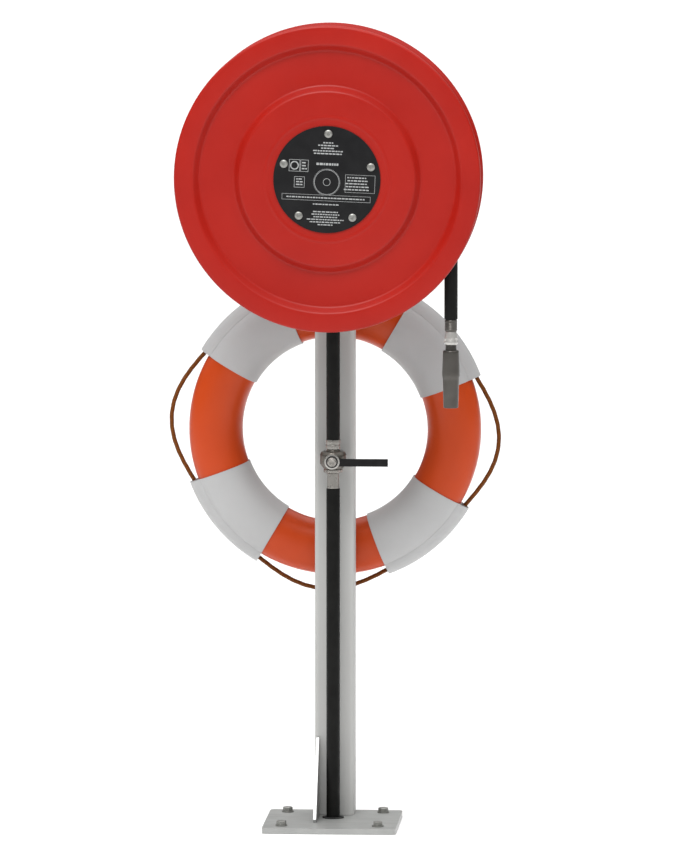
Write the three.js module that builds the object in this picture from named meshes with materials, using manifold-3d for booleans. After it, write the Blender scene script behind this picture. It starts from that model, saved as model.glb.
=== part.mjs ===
// Fire hose reel stand with a lifebuoy: base plate, square post, supply line with a ball valve,
// two-disc reel turning on a hollow axle, wound hose with a twist nozzle, and a lifebuoy on a hook.
// Millimetres. Origin: post axis on the underside of the base plate. +Z up, -Y front, +X right.
import * as THREE from 'three';
import { mergeVertices } from 'three/addons/utils/BufferGeometryUtils.js';
import Module from 'manifold-3d';

const wasm = await Module();
wasm.setup();

// Clearances
const GAP = 0.3;
const HOLE_CLEAR = 0.3;
const FLOOR_CLEAR = 0.5;
const CUT_PAST = 2;
const JOIN_DEPTH = 1;

// Facets round a circle
const HEX_SIDES = 6;
const HOLE_SIDES = 12;
const ROUND_SIDES = 16;
const TURNED_SIDES = 28;
const WIDE_SIDES = 40;
const CORNER_STEPS = 2;
const LINE_STEPS = 14;
const LINE_SECTION_STEPS = 4;

// Base plate and its fixings
const PLATE_SIZE = 272;
const PLATE_T = 12;
const PLATE_CORNER_R = 10;
const ANCHOR_SPACING = 196;
const ANCHOR_R = 6;
const ANCHOR_HOLE_R = 7;
const ANCHOR_HEX_AF = 18;
const ANCHOR_HEX_H = 8;
const WASHER_R = 12;
const WASHER_T = 2.5;

// Post
const POST_SIZE = 80;
const POST_WALL = 5;
const POST_CORNER_R = 10;
const POST_TOP_Z = 1450;
const CAP_T = 3;
const CAP_PLUG_H = 12;

// Gusset between the plate and the post
const GUSSET_T = 6;
const GUSSET_X = -33.5;
const GUSSET_REACH = 109;
const GUSSET_TOP_Z = 173;
const GUSSET_TOE = 6;

// Supply hose in front of the post
const SUPPLY_OFFSET = 37;
const SUPPLY_R = 13.75;
const SUPPLY_BORE_R = 9.5;
const GROMMET_LIP_R = 22;
const GROMMET_NECK_R = 19.7;
const GROMMET_LIP_T = 2.2;

// Ball valve
const VALVE_Z = 746.4;
const VALVE_R = 27.4;
const VALVE_HALF_H = 18;
const VALVE_CHAMFER = 5;
const VALVE_NECK_R = 12.5;
const VALVE_NECK_H = 4.5;
const CHAMBER_R = 18.5;
const BALL_R = 16.5;
const BALL_FLAT = 1;
const SEAT_OUTER_R = 17.5;
const SEAT_FACE = 15.5;
const SEAT_LIP = 11;
const SEAT_LIP_R = 14.5;
const SEAT_INNER = 13.9;
const END_HEX_AF = 34;
const END_HEX_H = 7.5;
const NIPPLE_R = 12.3;
const NIPPLE_H = 31.9;
const FERRULE_WALL = 1.1;
const UPPER_FERRULE_H = 19;
const BOSS_R = 13;
const BOSS_STAND_OUT = 1.6;
const STEM_R = 5;
const STEM_STAND_OUT = 15;
const GLAND_R = 10;
const GLAND_H = 3.5;
const LEVER_T = 3.7;
const LEVER_EYE_R = 14;
const LEVER_LENGTH = 113.5;
const LEVER_H = 15.5;
const LEVER_DROP = 1.6;
const LEVER_WASHER_R = 15.6;
const LEVER_WASHER_T = 1.5;
const LEVER_SPACER_R = 12.3;
const LEVER_SPACER_T = 1.2;
const LEVER_NUT_R = 9.4;
const LEVER_NUT_H = 5;

// Reel
const REEL_Z = 1333;
const REEL_R = 308.4;
const REEL_FRONT_Y = -278;
const REEL_WIDTH = 124;
const SHEET_T = 3;
const STEP_DEPTH = 14;
const RIM_LIP = 12;
const RIM_FLAT_R = 270;
const TROUGH_OUTER_R = 257;
const TROUGH_INNER_R = 189;
const BOSS_FLAT_R = 176;
const REAR_BORE_CLEAR = 2;
const FRONT_BORE_R = 34;
const CORE_R = 116;
const LABEL_R = 107.6;
const LABEL_T = 2;
const LABEL_SCREWS = 5;
const LABEL_SCREW_PCD_R = 92;
const LABEL_SCREW_TURN_DEG = -2;
const LABEL_SCREW_R = 3;
const LABEL_HEAD_R = 8;
const LABEL_HEAD_H = 3.2;
const LABEL_HEAD_TOP_R = 4.8;
const LABEL_HEAD_EDGE_H = 1.1;

// Hub, axle and bracket
const HUB_R = 42;
const BUSH_WALL = 5.7;
const HUB_FLANGE_R = 104;
const HUB_FLANGE_T = 5;
const HUB_MOUTH_R = 33;
const HUB_MOUTH_DEPTH = 13;
const OUTLET_R = 13;
const OUTLET_ROOT = 4;
const OUTLET_BORE_R = 9;
const CORE_HOLE_R = 15;
const AXLE_R = 18;
const AXLE_BORE_R = 10;
const AXLE_FLANGE_R = 28;
const AXLE_FLANGE_T = 6;
const AXLE_PORT_R = 6;
const AXLE_INSET = 1;
const AXLE_REAR_REACH = 13;
const BUSH_LENGTH = 20;
const BUSH_INSET = 8;
const NUT_R = 28;
const NUT_H = 11;
const BRACKET_W = 120;
const BRACKET_H = 160;
const BRACKET_REACH = 85;
const BRACKET_T = 8;
const BRACKET_BOLT_RISE = 58;
const BRACKET_BOLT_R = 5;
const BRACKET_HEAD_AF = 17;
const BRACKET_HEAD_H = 6.5;
const BRACKET_BOLT_LENGTH = 22;
const ELBOW_R = 16;
const ELBOW_DROP = 33;
const ELBOW_FLANGE_R = 22;
const ELBOW_FLANGE_T = 4;
const ELBOW_FERRULE_H = 36;

// Wound hose and nozzle
const HOSE_R = 13.5;
const HOSE_LAYERS = 6;
const LAYER_STEP = 23.4;
const WINDING_SIDE_CLEAR = 0.5;
const TAIL_Y = -226;
const TAIL_START_DROP = 40;
const TAIL_END_Z = 1048.4;
const TAIL_FERRULE_R = 12.7;
const TAIL_FERRULE_END_Z = 1023.3;
const SWIVEL_R = 14.45;
const SWIVEL_END_Z = 996.8;
const NECK_R = 11.4;
const NECK_END_Z = 986.2;
const NOZZLE_TUBE_R = 9;
const NOZZLE_BORE_R = 5;
const SLEEVE_TOP_R = 15.75;
const SLEEVE_MAX_R = 17.85;
const SLEEVE_MAX_Z = 932.9;
const SLEEVE_TIP_R = 14.95;
const SLEEVE_TIP_Z = 869.5;
const SLEEVE_MOUTH_R = 12;
const SLEEVE_MOUTH_DEPTH = 12;
const SLEEVE_SEAT_DEPTH = 16;
const TUBE_TIP_INSET = 8;

// Lifebuoy and its hook
const BUOY_X = -6.5;
const BUOY_Z = 793;
const BUOY_OUTER_R = 300;
const BUOY_INNER_R = 190;
const BUOY_DEPTH = 100;
const BUOY_ROUNDNESS = 0.85;
const BUOY_STAND_OFF = 5;
const BAND_COUNT = 4;
const BAND_SPAN_DEG = 39;
const BAND_FIRST_DEG = 40;
const BAND_T = 2.7;
const BAND_LIP_REACH = 15.5;
const BAND_LIP_ROOT = 2;
const BAND_LIP_T = 4;
const LINE_R = 4.5;
const LINE_SEAT_RISE = 9;
const SIDE_LINE_BULGE = 28;
const LOWER_LINE_BULGE = 22;
const UPPER_LINE_BULGE = 6;
const HOOK_W = 50;
const HOOK_T = 6;
const HOOK_PLATE_T = 4;
const HOOK_PLATE_H = 90;
const HOOK_TIP_RISE = 30;
const HOOK_SAG = 3;
const HOOK_BOLT_DROPS = [66, 26];
const HOOK_BOLT_R = 4;
const HOOK_HEAD_AF = 13;
const HOOK_HEAD_H = 5;
const HOOK_BOLT_LENGTH = 16;

// Finishes
const STAND_METAL = { color: 0xb9bab8, roughness: 0.45, metalness: 0.7 };
const BOLT_STEEL = { color: 0xc4c4c2, roughness: 0.4, metalness: 0.85 };
const BLACK_PLASTIC = { color: 0x2a2a2a, roughness: 0.6, metalness: 0 };
const GUSSET_METAL = { color: 0xdedfdd, roughness: 0.4, metalness: 0.5 };
const HOSE_RUBBER = { color: 0x222222, roughness: 0.75, metalness: 0 };
const VALVE_METAL = { color: 0xb5b3ad, roughness: 0.3, metalness: 0.95 };
const BRIGHT_METAL = { color: 0xd0d0d0, roughness: 0.15, metalness: 1 };
const SEAT_PLASTIC = { color: 0xf0efe8, roughness: 0.5, metalness: 0 };
const RED_PAINT = { color: 0xb4231c, roughness: 0.35, metalness: 0.1 };
const LABEL_BLACK = { color: 0x242424, roughness: 0.5, metalness: 0 };
const BRASS = { color: 0xa7823a, roughness: 0.35, metalness: 0.9 };
const NOZZLE_METAL = { color: 0x4a4a48, roughness: 0.5, metalness: 0.7 };
const BUOY_ORANGE = { color: 0xc83f1a, roughness: 0.35, metalness: 0 };
const BAND_GREY = { color: 0xc3c4c4, roughness: 0.6, metalness: 0 };
const LINE_BROWN = { color: 0x6f3a14, roughness: 0.8, metalness: 0 };

// Derived positions
const POST_HALF = POST_SIZE / 2;
const PLATE_REAR_Y = POST_HALF;
const PLATE_FRONT_Y = PLATE_REAR_Y - PLATE_SIZE;
const PLATE_MID_Y = (PLATE_REAR_Y + PLATE_FRONT_Y) / 2;
const POST_FACE_Y = -POST_HALF;
const SUPPLY_Y = POST_FACE_Y - SUPPLY_OFFSET;
const REEL_REAR_Y = REEL_FRONT_Y + REEL_WIDTH;
const REEL_MID_Y = (REEL_FRONT_Y + REEL_REAR_Y) / 2;
const HUB_FRONT_Y = REEL_FRONT_Y + SHEET_T + GAP;
const HUB_REAR_Y = REEL_REAR_Y - SHEET_T - GAP;
const BRACKET_FRONT_Y = POST_FACE_Y - GAP - BRACKET_REACH;
const AXLE_REAR_Y = BRACKET_FRONT_Y + BRACKET_T + AXLE_REAR_REACH;
const HUB_BORE_R = AXLE_R + GAP + BUSH_WALL + GAP;
const REAR_BORE_R = AXLE_R + REAR_BORE_CLEAR;
const BOSS_REACH = VALVE_R + BOSS_STAND_OUT;
const STEM_REACH = BOSS_REACH + STEM_STAND_OUT;
const OUTER_TURN_R = CORE_R + HOSE_R + LAYER_STEP * (HOSE_LAYERS - 1) + GAP;
const WINDING_R = OUTER_TURN_R + HOSE_R;
const BUOY_Y = POST_HALF + BUOY_STAND_OFF + BUOY_DEPTH / 2;
const BUOY_MID_R = (BUOY_OUTER_R + BUOY_INNER_R) / 2;
const BUOY_HALF_W = (BUOY_OUTER_R - BUOY_INNER_R) / 2;
const BAND_LIP_R = BUOY_OUTER_R + BAND_LIP_REACH;
const LINE_SEAT_R = BUOY_OUTER_R + LINE_SEAT_RISE;
const HALF_BAND_PITCH_DEG = 180 / BAND_COUNT;

const group = new THREE.Group();
group.name = 'fire_hose_reel';

function rad(degrees) {
  return THREE.MathUtils.degToRad(degrees);
}

// Solids
function solid(geometry) {
  const plain = geometry.clone();
  plain.deleteAttribute('normal');
  plain.deleteAttribute('uv');
  const merged = mergeVertices(plain, 1e-4);
  const vertProperties = new Float32Array(merged.attributes.position.array);
  const triVerts = new Uint32Array(merged.index.array);
  return new wasm.Manifold(new wasm.Mesh({ numProp: 3, vertProperties, triVerts }));
}

function add(name, body, finish) {
  const mesh = body.getMesh();
  const geometry = new THREE.BufferGeometry();
  geometry.setAttribute('position', new THREE.BufferAttribute(mesh.vertProperties, 3));
  geometry.setIndex(new THREE.BufferAttribute(mesh.triVerts, 1));
  geometry.computeVertexNormals();
  const part = new THREE.Mesh(geometry, new THREE.MeshStandardMaterial(finish));
  part.name = name;
  group.add(part);
}

function block(x0, x1, y0, y1, z0, z1) {
  const geometry = new THREE.BoxGeometry(x1 - x0, y1 - y0, z1 - z0);
  geometry.translate((x0 + x1) / 2, (y0 + y1) / 2, (z0 + z1) / 2);
  return solid(geometry);
}

function rodZ(x, y, z0, z1, r, sides = ROUND_SIDES) {
  const geometry = new THREE.CylinderGeometry(r, r, z1 - z0, sides);
  geometry.rotateX(Math.PI / 2);
  geometry.translate(x, y, (z0 + z1) / 2);
  return solid(geometry);
}

function rodY(x, z, y0, y1, r, sides = ROUND_SIDES) {
  const geometry = new THREE.CylinderGeometry(r, r, y1 - y0, sides);
  geometry.translate(x, (y0 + y1) / 2, z);
  return solid(geometry);
}

function rodX(y, z, x0, x1, r, sides = ROUND_SIDES) {
  const geometry = new THREE.CylinderGeometry(r, r, x1 - x0, sides);
  geometry.rotateZ(-Math.PI / 2);
  geometry.translate((x0 + x1) / 2, y, z);
  return solid(geometry);
}

function ball(x, y, z, r, sides = ROUND_SIDES) {
  const geometry = new THREE.SphereGeometry(r, sides, Math.round(sides / 2));
  geometry.translate(x, y, z);
  return solid(geometry);
}

function hexRadius(acrossFlats) {
  return acrossFlats / Math.sqrt(3);
}

function signedArea(points) {
  let area = 0;
  points.forEach((p, i) => {
    const q = points[(i + 1) % points.length];
    area += p.x * q.y - q.x * p.y;
  });
  return area / 2;
}

// A profile of [radius, height] points turned about Y; it may touch the axis only at its two ends.
function revolve(profile, sides) {
  let points = profile.map(([r, y]) => new THREE.Vector2(r, y));
  if (signedArea(points) < 0) points = points.reverse();
  const onAxis = points.filter((p) => p.x === 0).length;
  if (onAxis === 0) points.push(points[0].clone());
  while (onAxis > 0 && !(points[0].x === 0 && points[points.length - 1].x === 0)) {
    points.push(points.shift());
  }
  return solid(new THREE.LatheGeometry(points, sides));
}

function turnedY(profile, sides, x, z) {
  return revolve(profile, sides).translate([x, 0, z]);
}

function turnedZ(profile, sides, x, y) {
  return revolve(profile, sides).rotate([90, 0, 0]).translate([x, y, 0]);
}

function roundedSquare(width, depth, r) {
  const shape = new THREE.Shape();
  const w = width / 2;
  const d = depth / 2;
  shape.moveTo(w - r, -d);
  shape.absarc(w - r, -d + r, r, -Math.PI / 2, 0);
  shape.absarc(w - r, d - r, r, 0, Math.PI / 2);
  shape.absarc(-w + r, d - r, r, Math.PI / 2, Math.PI);
  shape.absarc(-w + r, -d + r, r, Math.PI, 1.5 * Math.PI);
  return shape;
}

function roundedBar(width, depth, r, z0, z1, x = 0, y = 0) {
  const shape = roundedSquare(width, depth, r);
  const geometry = new THREE.ExtrudeGeometry(shape, {
    depth: z1 - z0,
    bevelEnabled: false,
    curveSegments: CORNER_STEPS,
  });
  geometry.translate(x, y, z0);
  return solid(geometry);
}

function hexHeadY(x, z, faceY, towards, acrossFlats, headH, shankR, shankLength) {
  const headEnd = faceY + towards * headH;
  const shankEnd = faceY - towards * shankLength;
  const headR = hexRadius(acrossFlats);
  const head = rodY(x, z, Math.min(faceY, headEnd), Math.max(faceY, headEnd), headR, HEX_SIDES);
  const shank = rodY(x, z, Math.min(headEnd, shankEnd), Math.max(headEnd, shankEnd), shankR, HOLE_SIDES);
  return head.add(shank);
}

// Base
function makeBasePlate() {
  let plate = roundedBar(PLATE_SIZE, PLATE_SIZE, PLATE_CORNER_R, 0, PLATE_T, 0, PLATE_MID_Y);
  for (const [x, y] of anchorPoints()) {
    plate = plate.subtract(rodZ(x, y, -CUT_PAST, PLATE_T + CUT_PAST, ANCHOR_HOLE_R, HOLE_SIDES));
  }
  const hoseHole = rodZ(0, SUPPLY_Y, -CUT_PAST, PLATE_T + CUT_PAST, GROMMET_NECK_R + GAP, TURNED_SIDES);
  add('base_plate', plate.subtract(hoseHole), STAND_METAL);
}

function anchorPoints() {
  const half = ANCHOR_SPACING / 2;
  const points = [];
  for (const y of [PLATE_MID_Y - half, PLATE_MID_Y + half]) {
    points.push([-half, y]);
    points.push([half, y]);
  }
  return points;
}

function makeAnchorBolts() {
  anchorPoints().forEach(([x, y], i) => {
    const seat = PLATE_T + GAP;
    const washer = rodZ(x, y, seat, seat + WASHER_T, WASHER_R);
    const headTop = seat + WASHER_T + ANCHOR_HEX_H;
    const head = rodZ(x, y, seat + WASHER_T - JOIN_DEPTH, headTop, hexRadius(ANCHOR_HEX_AF), HEX_SIDES);
    const shank = rodZ(x, y, FLOOR_CLEAR, seat + JOIN_DEPTH, ANCHOR_R, HOLE_SIDES);
    add(`anchor_bolt_${i + 1}`, washer.add(head).add(shank), BOLT_STEEL);
  });
}

function makePost() {
  const z0 = PLATE_T + GAP;
  const outer = roundedBar(POST_SIZE, POST_SIZE, POST_CORNER_R, z0, POST_TOP_Z);
  const innerSize = POST_SIZE - 2 * POST_WALL;
  const innerR = POST_CORNER_R - POST_WALL;
  const inner = roundedBar(innerSize, innerSize, innerR, z0 - CUT_PAST, POST_TOP_Z + CUT_PAST);
  let post = outer.subtract(inner);
  for (const z of bracketBoltHeights()) {
    post = post.subtract(rodY(0, z, -POST_HALF - CUT_PAST, 0, BRACKET_BOLT_R + HOLE_CLEAR, HOLE_SIDES));
  }
  for (const z of hookBoltHeights()) {
    post = post.subtract(rodY(0, z, 0, POST_HALF + CUT_PAST, HOOK_BOLT_R + HOLE_CLEAR, HOLE_SIDES));
  }
  add('post', post, STAND_METAL);
}

function makePostCap() {
  const top = roundedBar(POST_SIZE, POST_SIZE, POST_CORNER_R, POST_TOP_Z + GAP, POST_TOP_Z + GAP + CAP_T);
  const plugSize = POST_SIZE - 2 * POST_WALL - 2 * GAP;
  const plugR = POST_CORNER_R - POST_WALL;
  const plug = roundedBar(plugSize, plugSize, plugR, POST_TOP_Z - CAP_PLUG_H, POST_TOP_Z + JOIN_DEPTH);
  add('post_cap', top.add(plug), BLACK_PLASTIC);
}

function makeGusset() {
  const z0 = PLATE_T + GAP;
  const shape = new THREE.Shape();
  shape.moveTo(POST_FACE_Y + POST_CORNER_R, z0);
  shape.lineTo(POST_FACE_Y - GUSSET_REACH, z0);
  shape.lineTo(POST_FACE_Y - GUSSET_REACH, z0 + GUSSET_TOE);
  shape.lineTo(POST_FACE_Y - GUSSET_TOE, GUSSET_TOP_Z);
  shape.lineTo(POST_FACE_Y + POST_CORNER_R, GUSSET_TOP_Z);
  const geometry = new THREE.ExtrudeGeometry(shape, { depth: GUSSET_T, bevelEnabled: false });
  geometry.rotateX(Math.PI / 2);
  geometry.rotateZ(Math.PI / 2);
  geometry.translate(GUSSET_X - GUSSET_T / 2, 0, 0);
  const clearSize = POST_SIZE + 2 * GAP;
  const postSpace = roundedBar(clearSize, clearSize, POST_CORNER_R + GAP, 0, GUSSET_TOP_Z + CUT_PAST);
  add('base_gusset', solid(geometry).subtract(postSpace), GUSSET_METAL);
}

// Supply line
function makeGrommet() {
  const lipZ = PLATE_T + GAP;
  const profile = [
    [SUPPLY_R + GAP, FLOOR_CLEAR],
    [GROMMET_NECK_R, FLOOR_CLEAR],
    [GROMMET_NECK_R, lipZ],
    [GROMMET_LIP_R, lipZ],
    [GROMMET_LIP_R, lipZ + GROMMET_LIP_T],
    [SUPPLY_R + GAP, lipZ + GROMMET_LIP_T],
  ];
  add('hose_grommet', turnedZ(profile, TURNED_SIDES, 0, SUPPLY_Y), BLACK_PLASTIC);
}

function pipeZ(x, y, z0, z1, outerR, innerR, sides = ROUND_SIDES) {
  const profile = [
    [innerR, z0],
    [outerR, z0],
    [outerR, z1],
    [innerR, z1],
  ];
  return turnedZ(profile, sides, x, y);
}

function pipeY(x, z, y0, y1, outerR, innerR, sides = ROUND_SIDES) {
  const profile = [
    [innerR, y0],
    [outerR, y0],
    [outerR, y1],
    [innerR, y1],
  ];
  return turnedY(profile, sides, x, z);
}

function valveTopZ() {
  return VALVE_Z + VALVE_HALF_H + VALVE_NECK_H;
}

function nippleEndZ() {
  return VALVE_Z - VALVE_HALF_H - END_HEX_H - NIPPLE_H;
}

function elbowEndZ() {
  return REEL_Z - ELBOW_DROP;
}

function makeSupplyHoses() {
  const lowerTop = nippleEndZ() - GAP;
  const upperBottom = valveTopZ() + GAP;
  const upperTop = elbowEndZ() - GAP;
  const lower = pipeZ(0, SUPPLY_Y, FLOOR_CLEAR, lowerTop, SUPPLY_R, SUPPLY_BORE_R);
  const upper = pipeZ(0, SUPPLY_Y, upperBottom, upperTop, SUPPLY_R, SUPPLY_BORE_R);
  add('supply_hose_lower', lower, HOSE_RUBBER);
  add('supply_hose_upper', upper, HOSE_RUBBER);
  const ferruleR = SUPPLY_R + GAP + FERRULE_WALL;
  const holdR = SUPPLY_R + GAP;
  const valveEnd = pipeZ(0, SUPPLY_Y, upperBottom, upperBottom + UPPER_FERRULE_H, ferruleR, holdR);
  const elbowEnd = pipeZ(0, SUPPLY_Y, upperTop - ELBOW_FERRULE_H, upperTop, ferruleR, holdR);
  add('valve_ferrule', valveEnd, VALVE_METAL);
  add('elbow_ferrule', elbowEnd, VALVE_METAL);
}

function makeValveBody() {
  const bottom = VALVE_Z - VALVE_HALF_H;
  const top = VALVE_Z + VALVE_HALF_H;
  const profile = [
    [0, bottom],
    [VALVE_R - VALVE_CHAMFER, bottom],
    [VALVE_R, bottom + VALVE_CHAMFER],
    [VALVE_R, top - VALVE_CHAMFER],
    [VALVE_R - VALVE_CHAMFER, top],
    [VALVE_NECK_R, top],
    [VALVE_NECK_R, valveTopZ()],
    [0, valveTopZ()],
  ];
  const bossEnd = SUPPLY_Y - BOSS_REACH;
  const boss = rodY(0, VALVE_Z, bossEnd, SUPPLY_Y, BOSS_R);
  const shell = turnedZ(profile, TURNED_SIDES, 0, SUPPLY_Y).add(boss);
  const chamber = rodZ(0, SUPPLY_Y, bottom - CUT_PAST, VALVE_Z + SEAT_FACE + GAP, CHAMBER_R);
  const bore = rodZ(0, SUPPLY_Y, VALVE_Z, valveTopZ() + CUT_PAST, SUPPLY_BORE_R);
  const stemHole = rodY(0, VALVE_Z, bossEnd - CUT_PAST, SUPPLY_Y, STEM_R + HOLE_CLEAR);
  const body = shell.subtract(chamber).subtract(bore).subtract(stemHole);
  add('valve_body', body, VALVE_METAL);
}

function makeValveEnd() {
  const bottom = VALVE_Z - VALVE_HALF_H;
  const spigot = rodZ(0, SUPPLY_Y, bottom - JOIN_DEPTH, VALVE_Z - SEAT_FACE - GAP, CHAMBER_R - GAP);
  const hexTop = bottom - GAP;
  const hex = rodZ(0, SUPPLY_Y, bottom - END_HEX_H, hexTop, hexRadius(END_HEX_AF), HEX_SIDES);
  const nipple = rodZ(0, SUPPLY_Y, nippleEndZ(), bottom - END_HEX_H + JOIN_DEPTH, NIPPLE_R);
  const bore = rodZ(0, SUPPLY_Y, nippleEndZ() - CUT_PAST, VALVE_Z, SUPPLY_BORE_R);
  add('valve_end_fitting', spigot.add(hex).add(nipple).subtract(bore), VALVE_METAL);
}

function makeValveInside() {
  const bore = rodX(SUPPLY_Y, VALVE_Z, -2 * BALL_R, 2 * BALL_R, SUPPLY_BORE_R);
  const flatY = SUPPLY_Y - BALL_R + BALL_FLAT;
  const flat = block(-BALL_R, BALL_R, flatY - BALL_R, flatY, VALVE_Z - BALL_R, VALVE_Z + BALL_R);
  const sphere = ball(0, SUPPLY_Y, VALVE_Z, BALL_R).subtract(bore).subtract(flat);
  add('valve_ball', sphere, BRIGHT_METAL);
  const seats = [['valve_seat_upper', 1], ['valve_seat_lower', -1]];
  for (const [name, side] of seats) {
    const profile = [
      [SUPPLY_BORE_R, VALVE_Z + side * SEAT_INNER],
      [SUPPLY_BORE_R, VALVE_Z + side * SEAT_FACE],
      [SEAT_OUTER_R, VALVE_Z + side * SEAT_FACE],
      [SEAT_OUTER_R, VALVE_Z + side * SEAT_LIP],
      [SEAT_LIP_R, VALVE_Z + side * SEAT_LIP],
    ];
    add(name, turnedZ(profile, TURNED_SIDES, 0, SUPPLY_Y), SEAT_PLASTIC);
  }
  const stemEnd = SUPPLY_Y - STEM_REACH;
  add('valve_stem', rodY(0, VALVE_Z, stemEnd, flatY - GAP, STEM_R), BRIGHT_METAL);
}

function makeLever() {
  let y = SUPPLY_Y - BOSS_REACH - GAP;
  const holeR = STEM_R + HOLE_CLEAR;
  const gland = rodY(0, VALVE_Z, y - GLAND_H, y, GLAND_R, HEX_SIDES);
  add('gland_nut', gland.subtract(stemSpace(y - GLAND_H, y, holeR)), VALVE_METAL);
  y -= GLAND_H + GAP;
  const eye = rodY(0, VALVE_Z, y - LEVER_T, y, LEVER_EYE_R, TURNED_SIDES);
  const barZ = VALVE_Z - LEVER_DROP;
  const bar = block(0, LEVER_LENGTH, y - LEVER_T, y, barZ - LEVER_H / 2, barZ + LEVER_H / 2);
  const lever = eye.add(bar).subtract(stemSpace(y - LEVER_T, y, holeR));
  add('valve_lever', lever, BLACK_PLASTIC);
  y -= LEVER_T + GAP;
  const washer = pipeY(0, VALVE_Z, y - LEVER_WASHER_T, y, LEVER_WASHER_R, holeR, TURNED_SIDES);
  add('lever_washer', washer, BRIGHT_METAL);
  y -= LEVER_WASHER_T + GAP;
  const spacer = pipeY(0, VALVE_Z, y - LEVER_SPACER_T, y, LEVER_SPACER_R, holeR);
  add('lever_spacer', spacer, BLACK_PLASTIC);
  y -= LEVER_SPACER_T + GAP;
  const nut = pipeY(0, VALVE_Z, y - LEVER_NUT_H, y, LEVER_NUT_R, holeR);
  add('lever_nut', nut, BRIGHT_METAL);
}

function stemSpace(y0, y1, r) {
  return rodY(0, VALVE_Z, y0 - CUT_PAST, y1 + CUT_PAST, r);
}

// Reel
function discProfile(faceY, inward, boreR) {
  const outside = [
    [boreR, 0],
    [BOSS_FLAT_R, 0],
    [TROUGH_INNER_R, STEP_DEPTH],
    [TROUGH_OUTER_R, STEP_DEPTH],
    [RIM_FLAT_R, 0],
    [REEL_R, 0],
    [REEL_R, RIM_LIP],
    [REEL_R - SHEET_T, RIM_LIP],
    [REEL_R - SHEET_T, SHEET_T],
    [RIM_FLAT_R, SHEET_T],
    [TROUGH_OUTER_R, STEP_DEPTH + SHEET_T],
    [TROUGH_INNER_R, STEP_DEPTH + SHEET_T],
    [BOSS_FLAT_R, SHEET_T],
    [boreR, SHEET_T],
  ];
  return outside.map(([r, depth]) => [r, faceY + inward * depth]);
}

function labelScrewPoints() {
  const points = [];
  for (let i = 0; i < LABEL_SCREWS; i += 1) {
    const angle = rad(90 + LABEL_SCREW_TURN_DEG + (360 * i) / LABEL_SCREWS);
    points.push([LABEL_SCREW_PCD_R * Math.cos(angle), REEL_Z + LABEL_SCREW_PCD_R * Math.sin(angle)]);
  }
  return points;
}

function drillLabelScrews(body, y0, y1) {
  let drilled = body;
  for (const [x, z] of labelScrewPoints()) {
    const hole = rodY(x, z, y0 - CUT_PAST, y1 + CUT_PAST, LABEL_SCREW_R + HOLE_CLEAR, HOLE_SIDES);
    drilled = drilled.subtract(hole);
  }
  return drilled;
}

function makeDiscs() {
  const front = turnedY(discProfile(REEL_FRONT_Y, 1, FRONT_BORE_R), WIDE_SIDES, 0, REEL_Z);
  add('front_disc', drillLabelScrews(front, REEL_FRONT_Y, HUB_FRONT_Y), RED_PAINT);
  const rear = turnedY(discProfile(REEL_REAR_Y, -1, REAR_BORE_R), WIDE_SIDES, 0, REEL_Z);
  add('rear_disc', rear, RED_PAINT);
}

function makeDrumCore() {
  const tube = pipeY(0, REEL_Z, HUB_FRONT_Y, HUB_REAR_Y, CORE_R, CORE_R - SHEET_T, WIDE_SIDES);
  const hole = rodX(REEL_MID_Y, REEL_Z, -CORE_R - CUT_PAST, -CORE_R / 2, CORE_HOLE_R);
  add('drum_core', tube.subtract(hole), RED_PAINT);
}

function makeLabel() {
  const rear = REEL_FRONT_Y - GAP;
  const plate = rodY(0, REEL_Z, rear - LABEL_T, rear, LABEL_R, WIDE_SIDES);
  add('label_plate', drillLabelScrews(plate, rear - LABEL_T, rear), LABEL_BLACK);
  const headSeat = rear - LABEL_T - GAP;
  labelScrewPoints().forEach(([x, z], i) => {
    const profile = [
      [0, headSeat - LABEL_HEAD_H],
      [LABEL_HEAD_TOP_R, headSeat - LABEL_HEAD_H],
      [LABEL_HEAD_R, headSeat - LABEL_HEAD_EDGE_H],
      [LABEL_HEAD_R, headSeat],
      [LABEL_SCREW_R, headSeat],
      [LABEL_SCREW_R, HUB_FRONT_Y + HUB_FLANGE_T],
      [0, HUB_FRONT_Y + HUB_FLANGE_T],
    ];
    add(`label_screw_${i + 1}`, turnedY(profile, HOLE_SIDES, x, z), BOLT_STEEL);
  });
}

function makeHub() {
  const profile = [
    [HUB_MOUTH_R, HUB_FRONT_Y],
    [HUB_FLANGE_R, HUB_FRONT_Y],
    [HUB_FLANGE_R, HUB_FRONT_Y + HUB_FLANGE_T],
    [HUB_R, HUB_FRONT_Y + HUB_FLANGE_T],
    [HUB_R, HUB_REAR_Y - HUB_FLANGE_T],
    [HUB_FLANGE_R, HUB_REAR_Y - HUB_FLANGE_T],
    [HUB_FLANGE_R, HUB_REAR_Y],
    [HUB_BORE_R, HUB_REAR_Y],
    [HUB_BORE_R, HUB_FRONT_Y + HUB_MOUTH_DEPTH],
    [HUB_MOUTH_R, HUB_FRONT_Y + HUB_MOUTH_DEPTH],
  ];
  const turned = turnedY(profile, TURNED_SIDES, 0, REEL_Z);
  const outletX = -(CORE_R - SHEET_T);
  const pipe = rodX(REEL_MID_Y, REEL_Z, outletX, -(HUB_R - OUTLET_ROOT), OUTLET_R);
  const bore = rodX(REEL_MID_Y, REEL_Z, outletX - CUT_PAST, -HUB_BORE_R / 2, OUTLET_BORE_R);
  const hub = turned.add(pipe).subtract(bore);
  add('reel_hub', drillLabelScrews(hub, HUB_FRONT_Y, HUB_FRONT_Y + HUB_FLANGE_T), BRIGHT_METAL);
}

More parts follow.
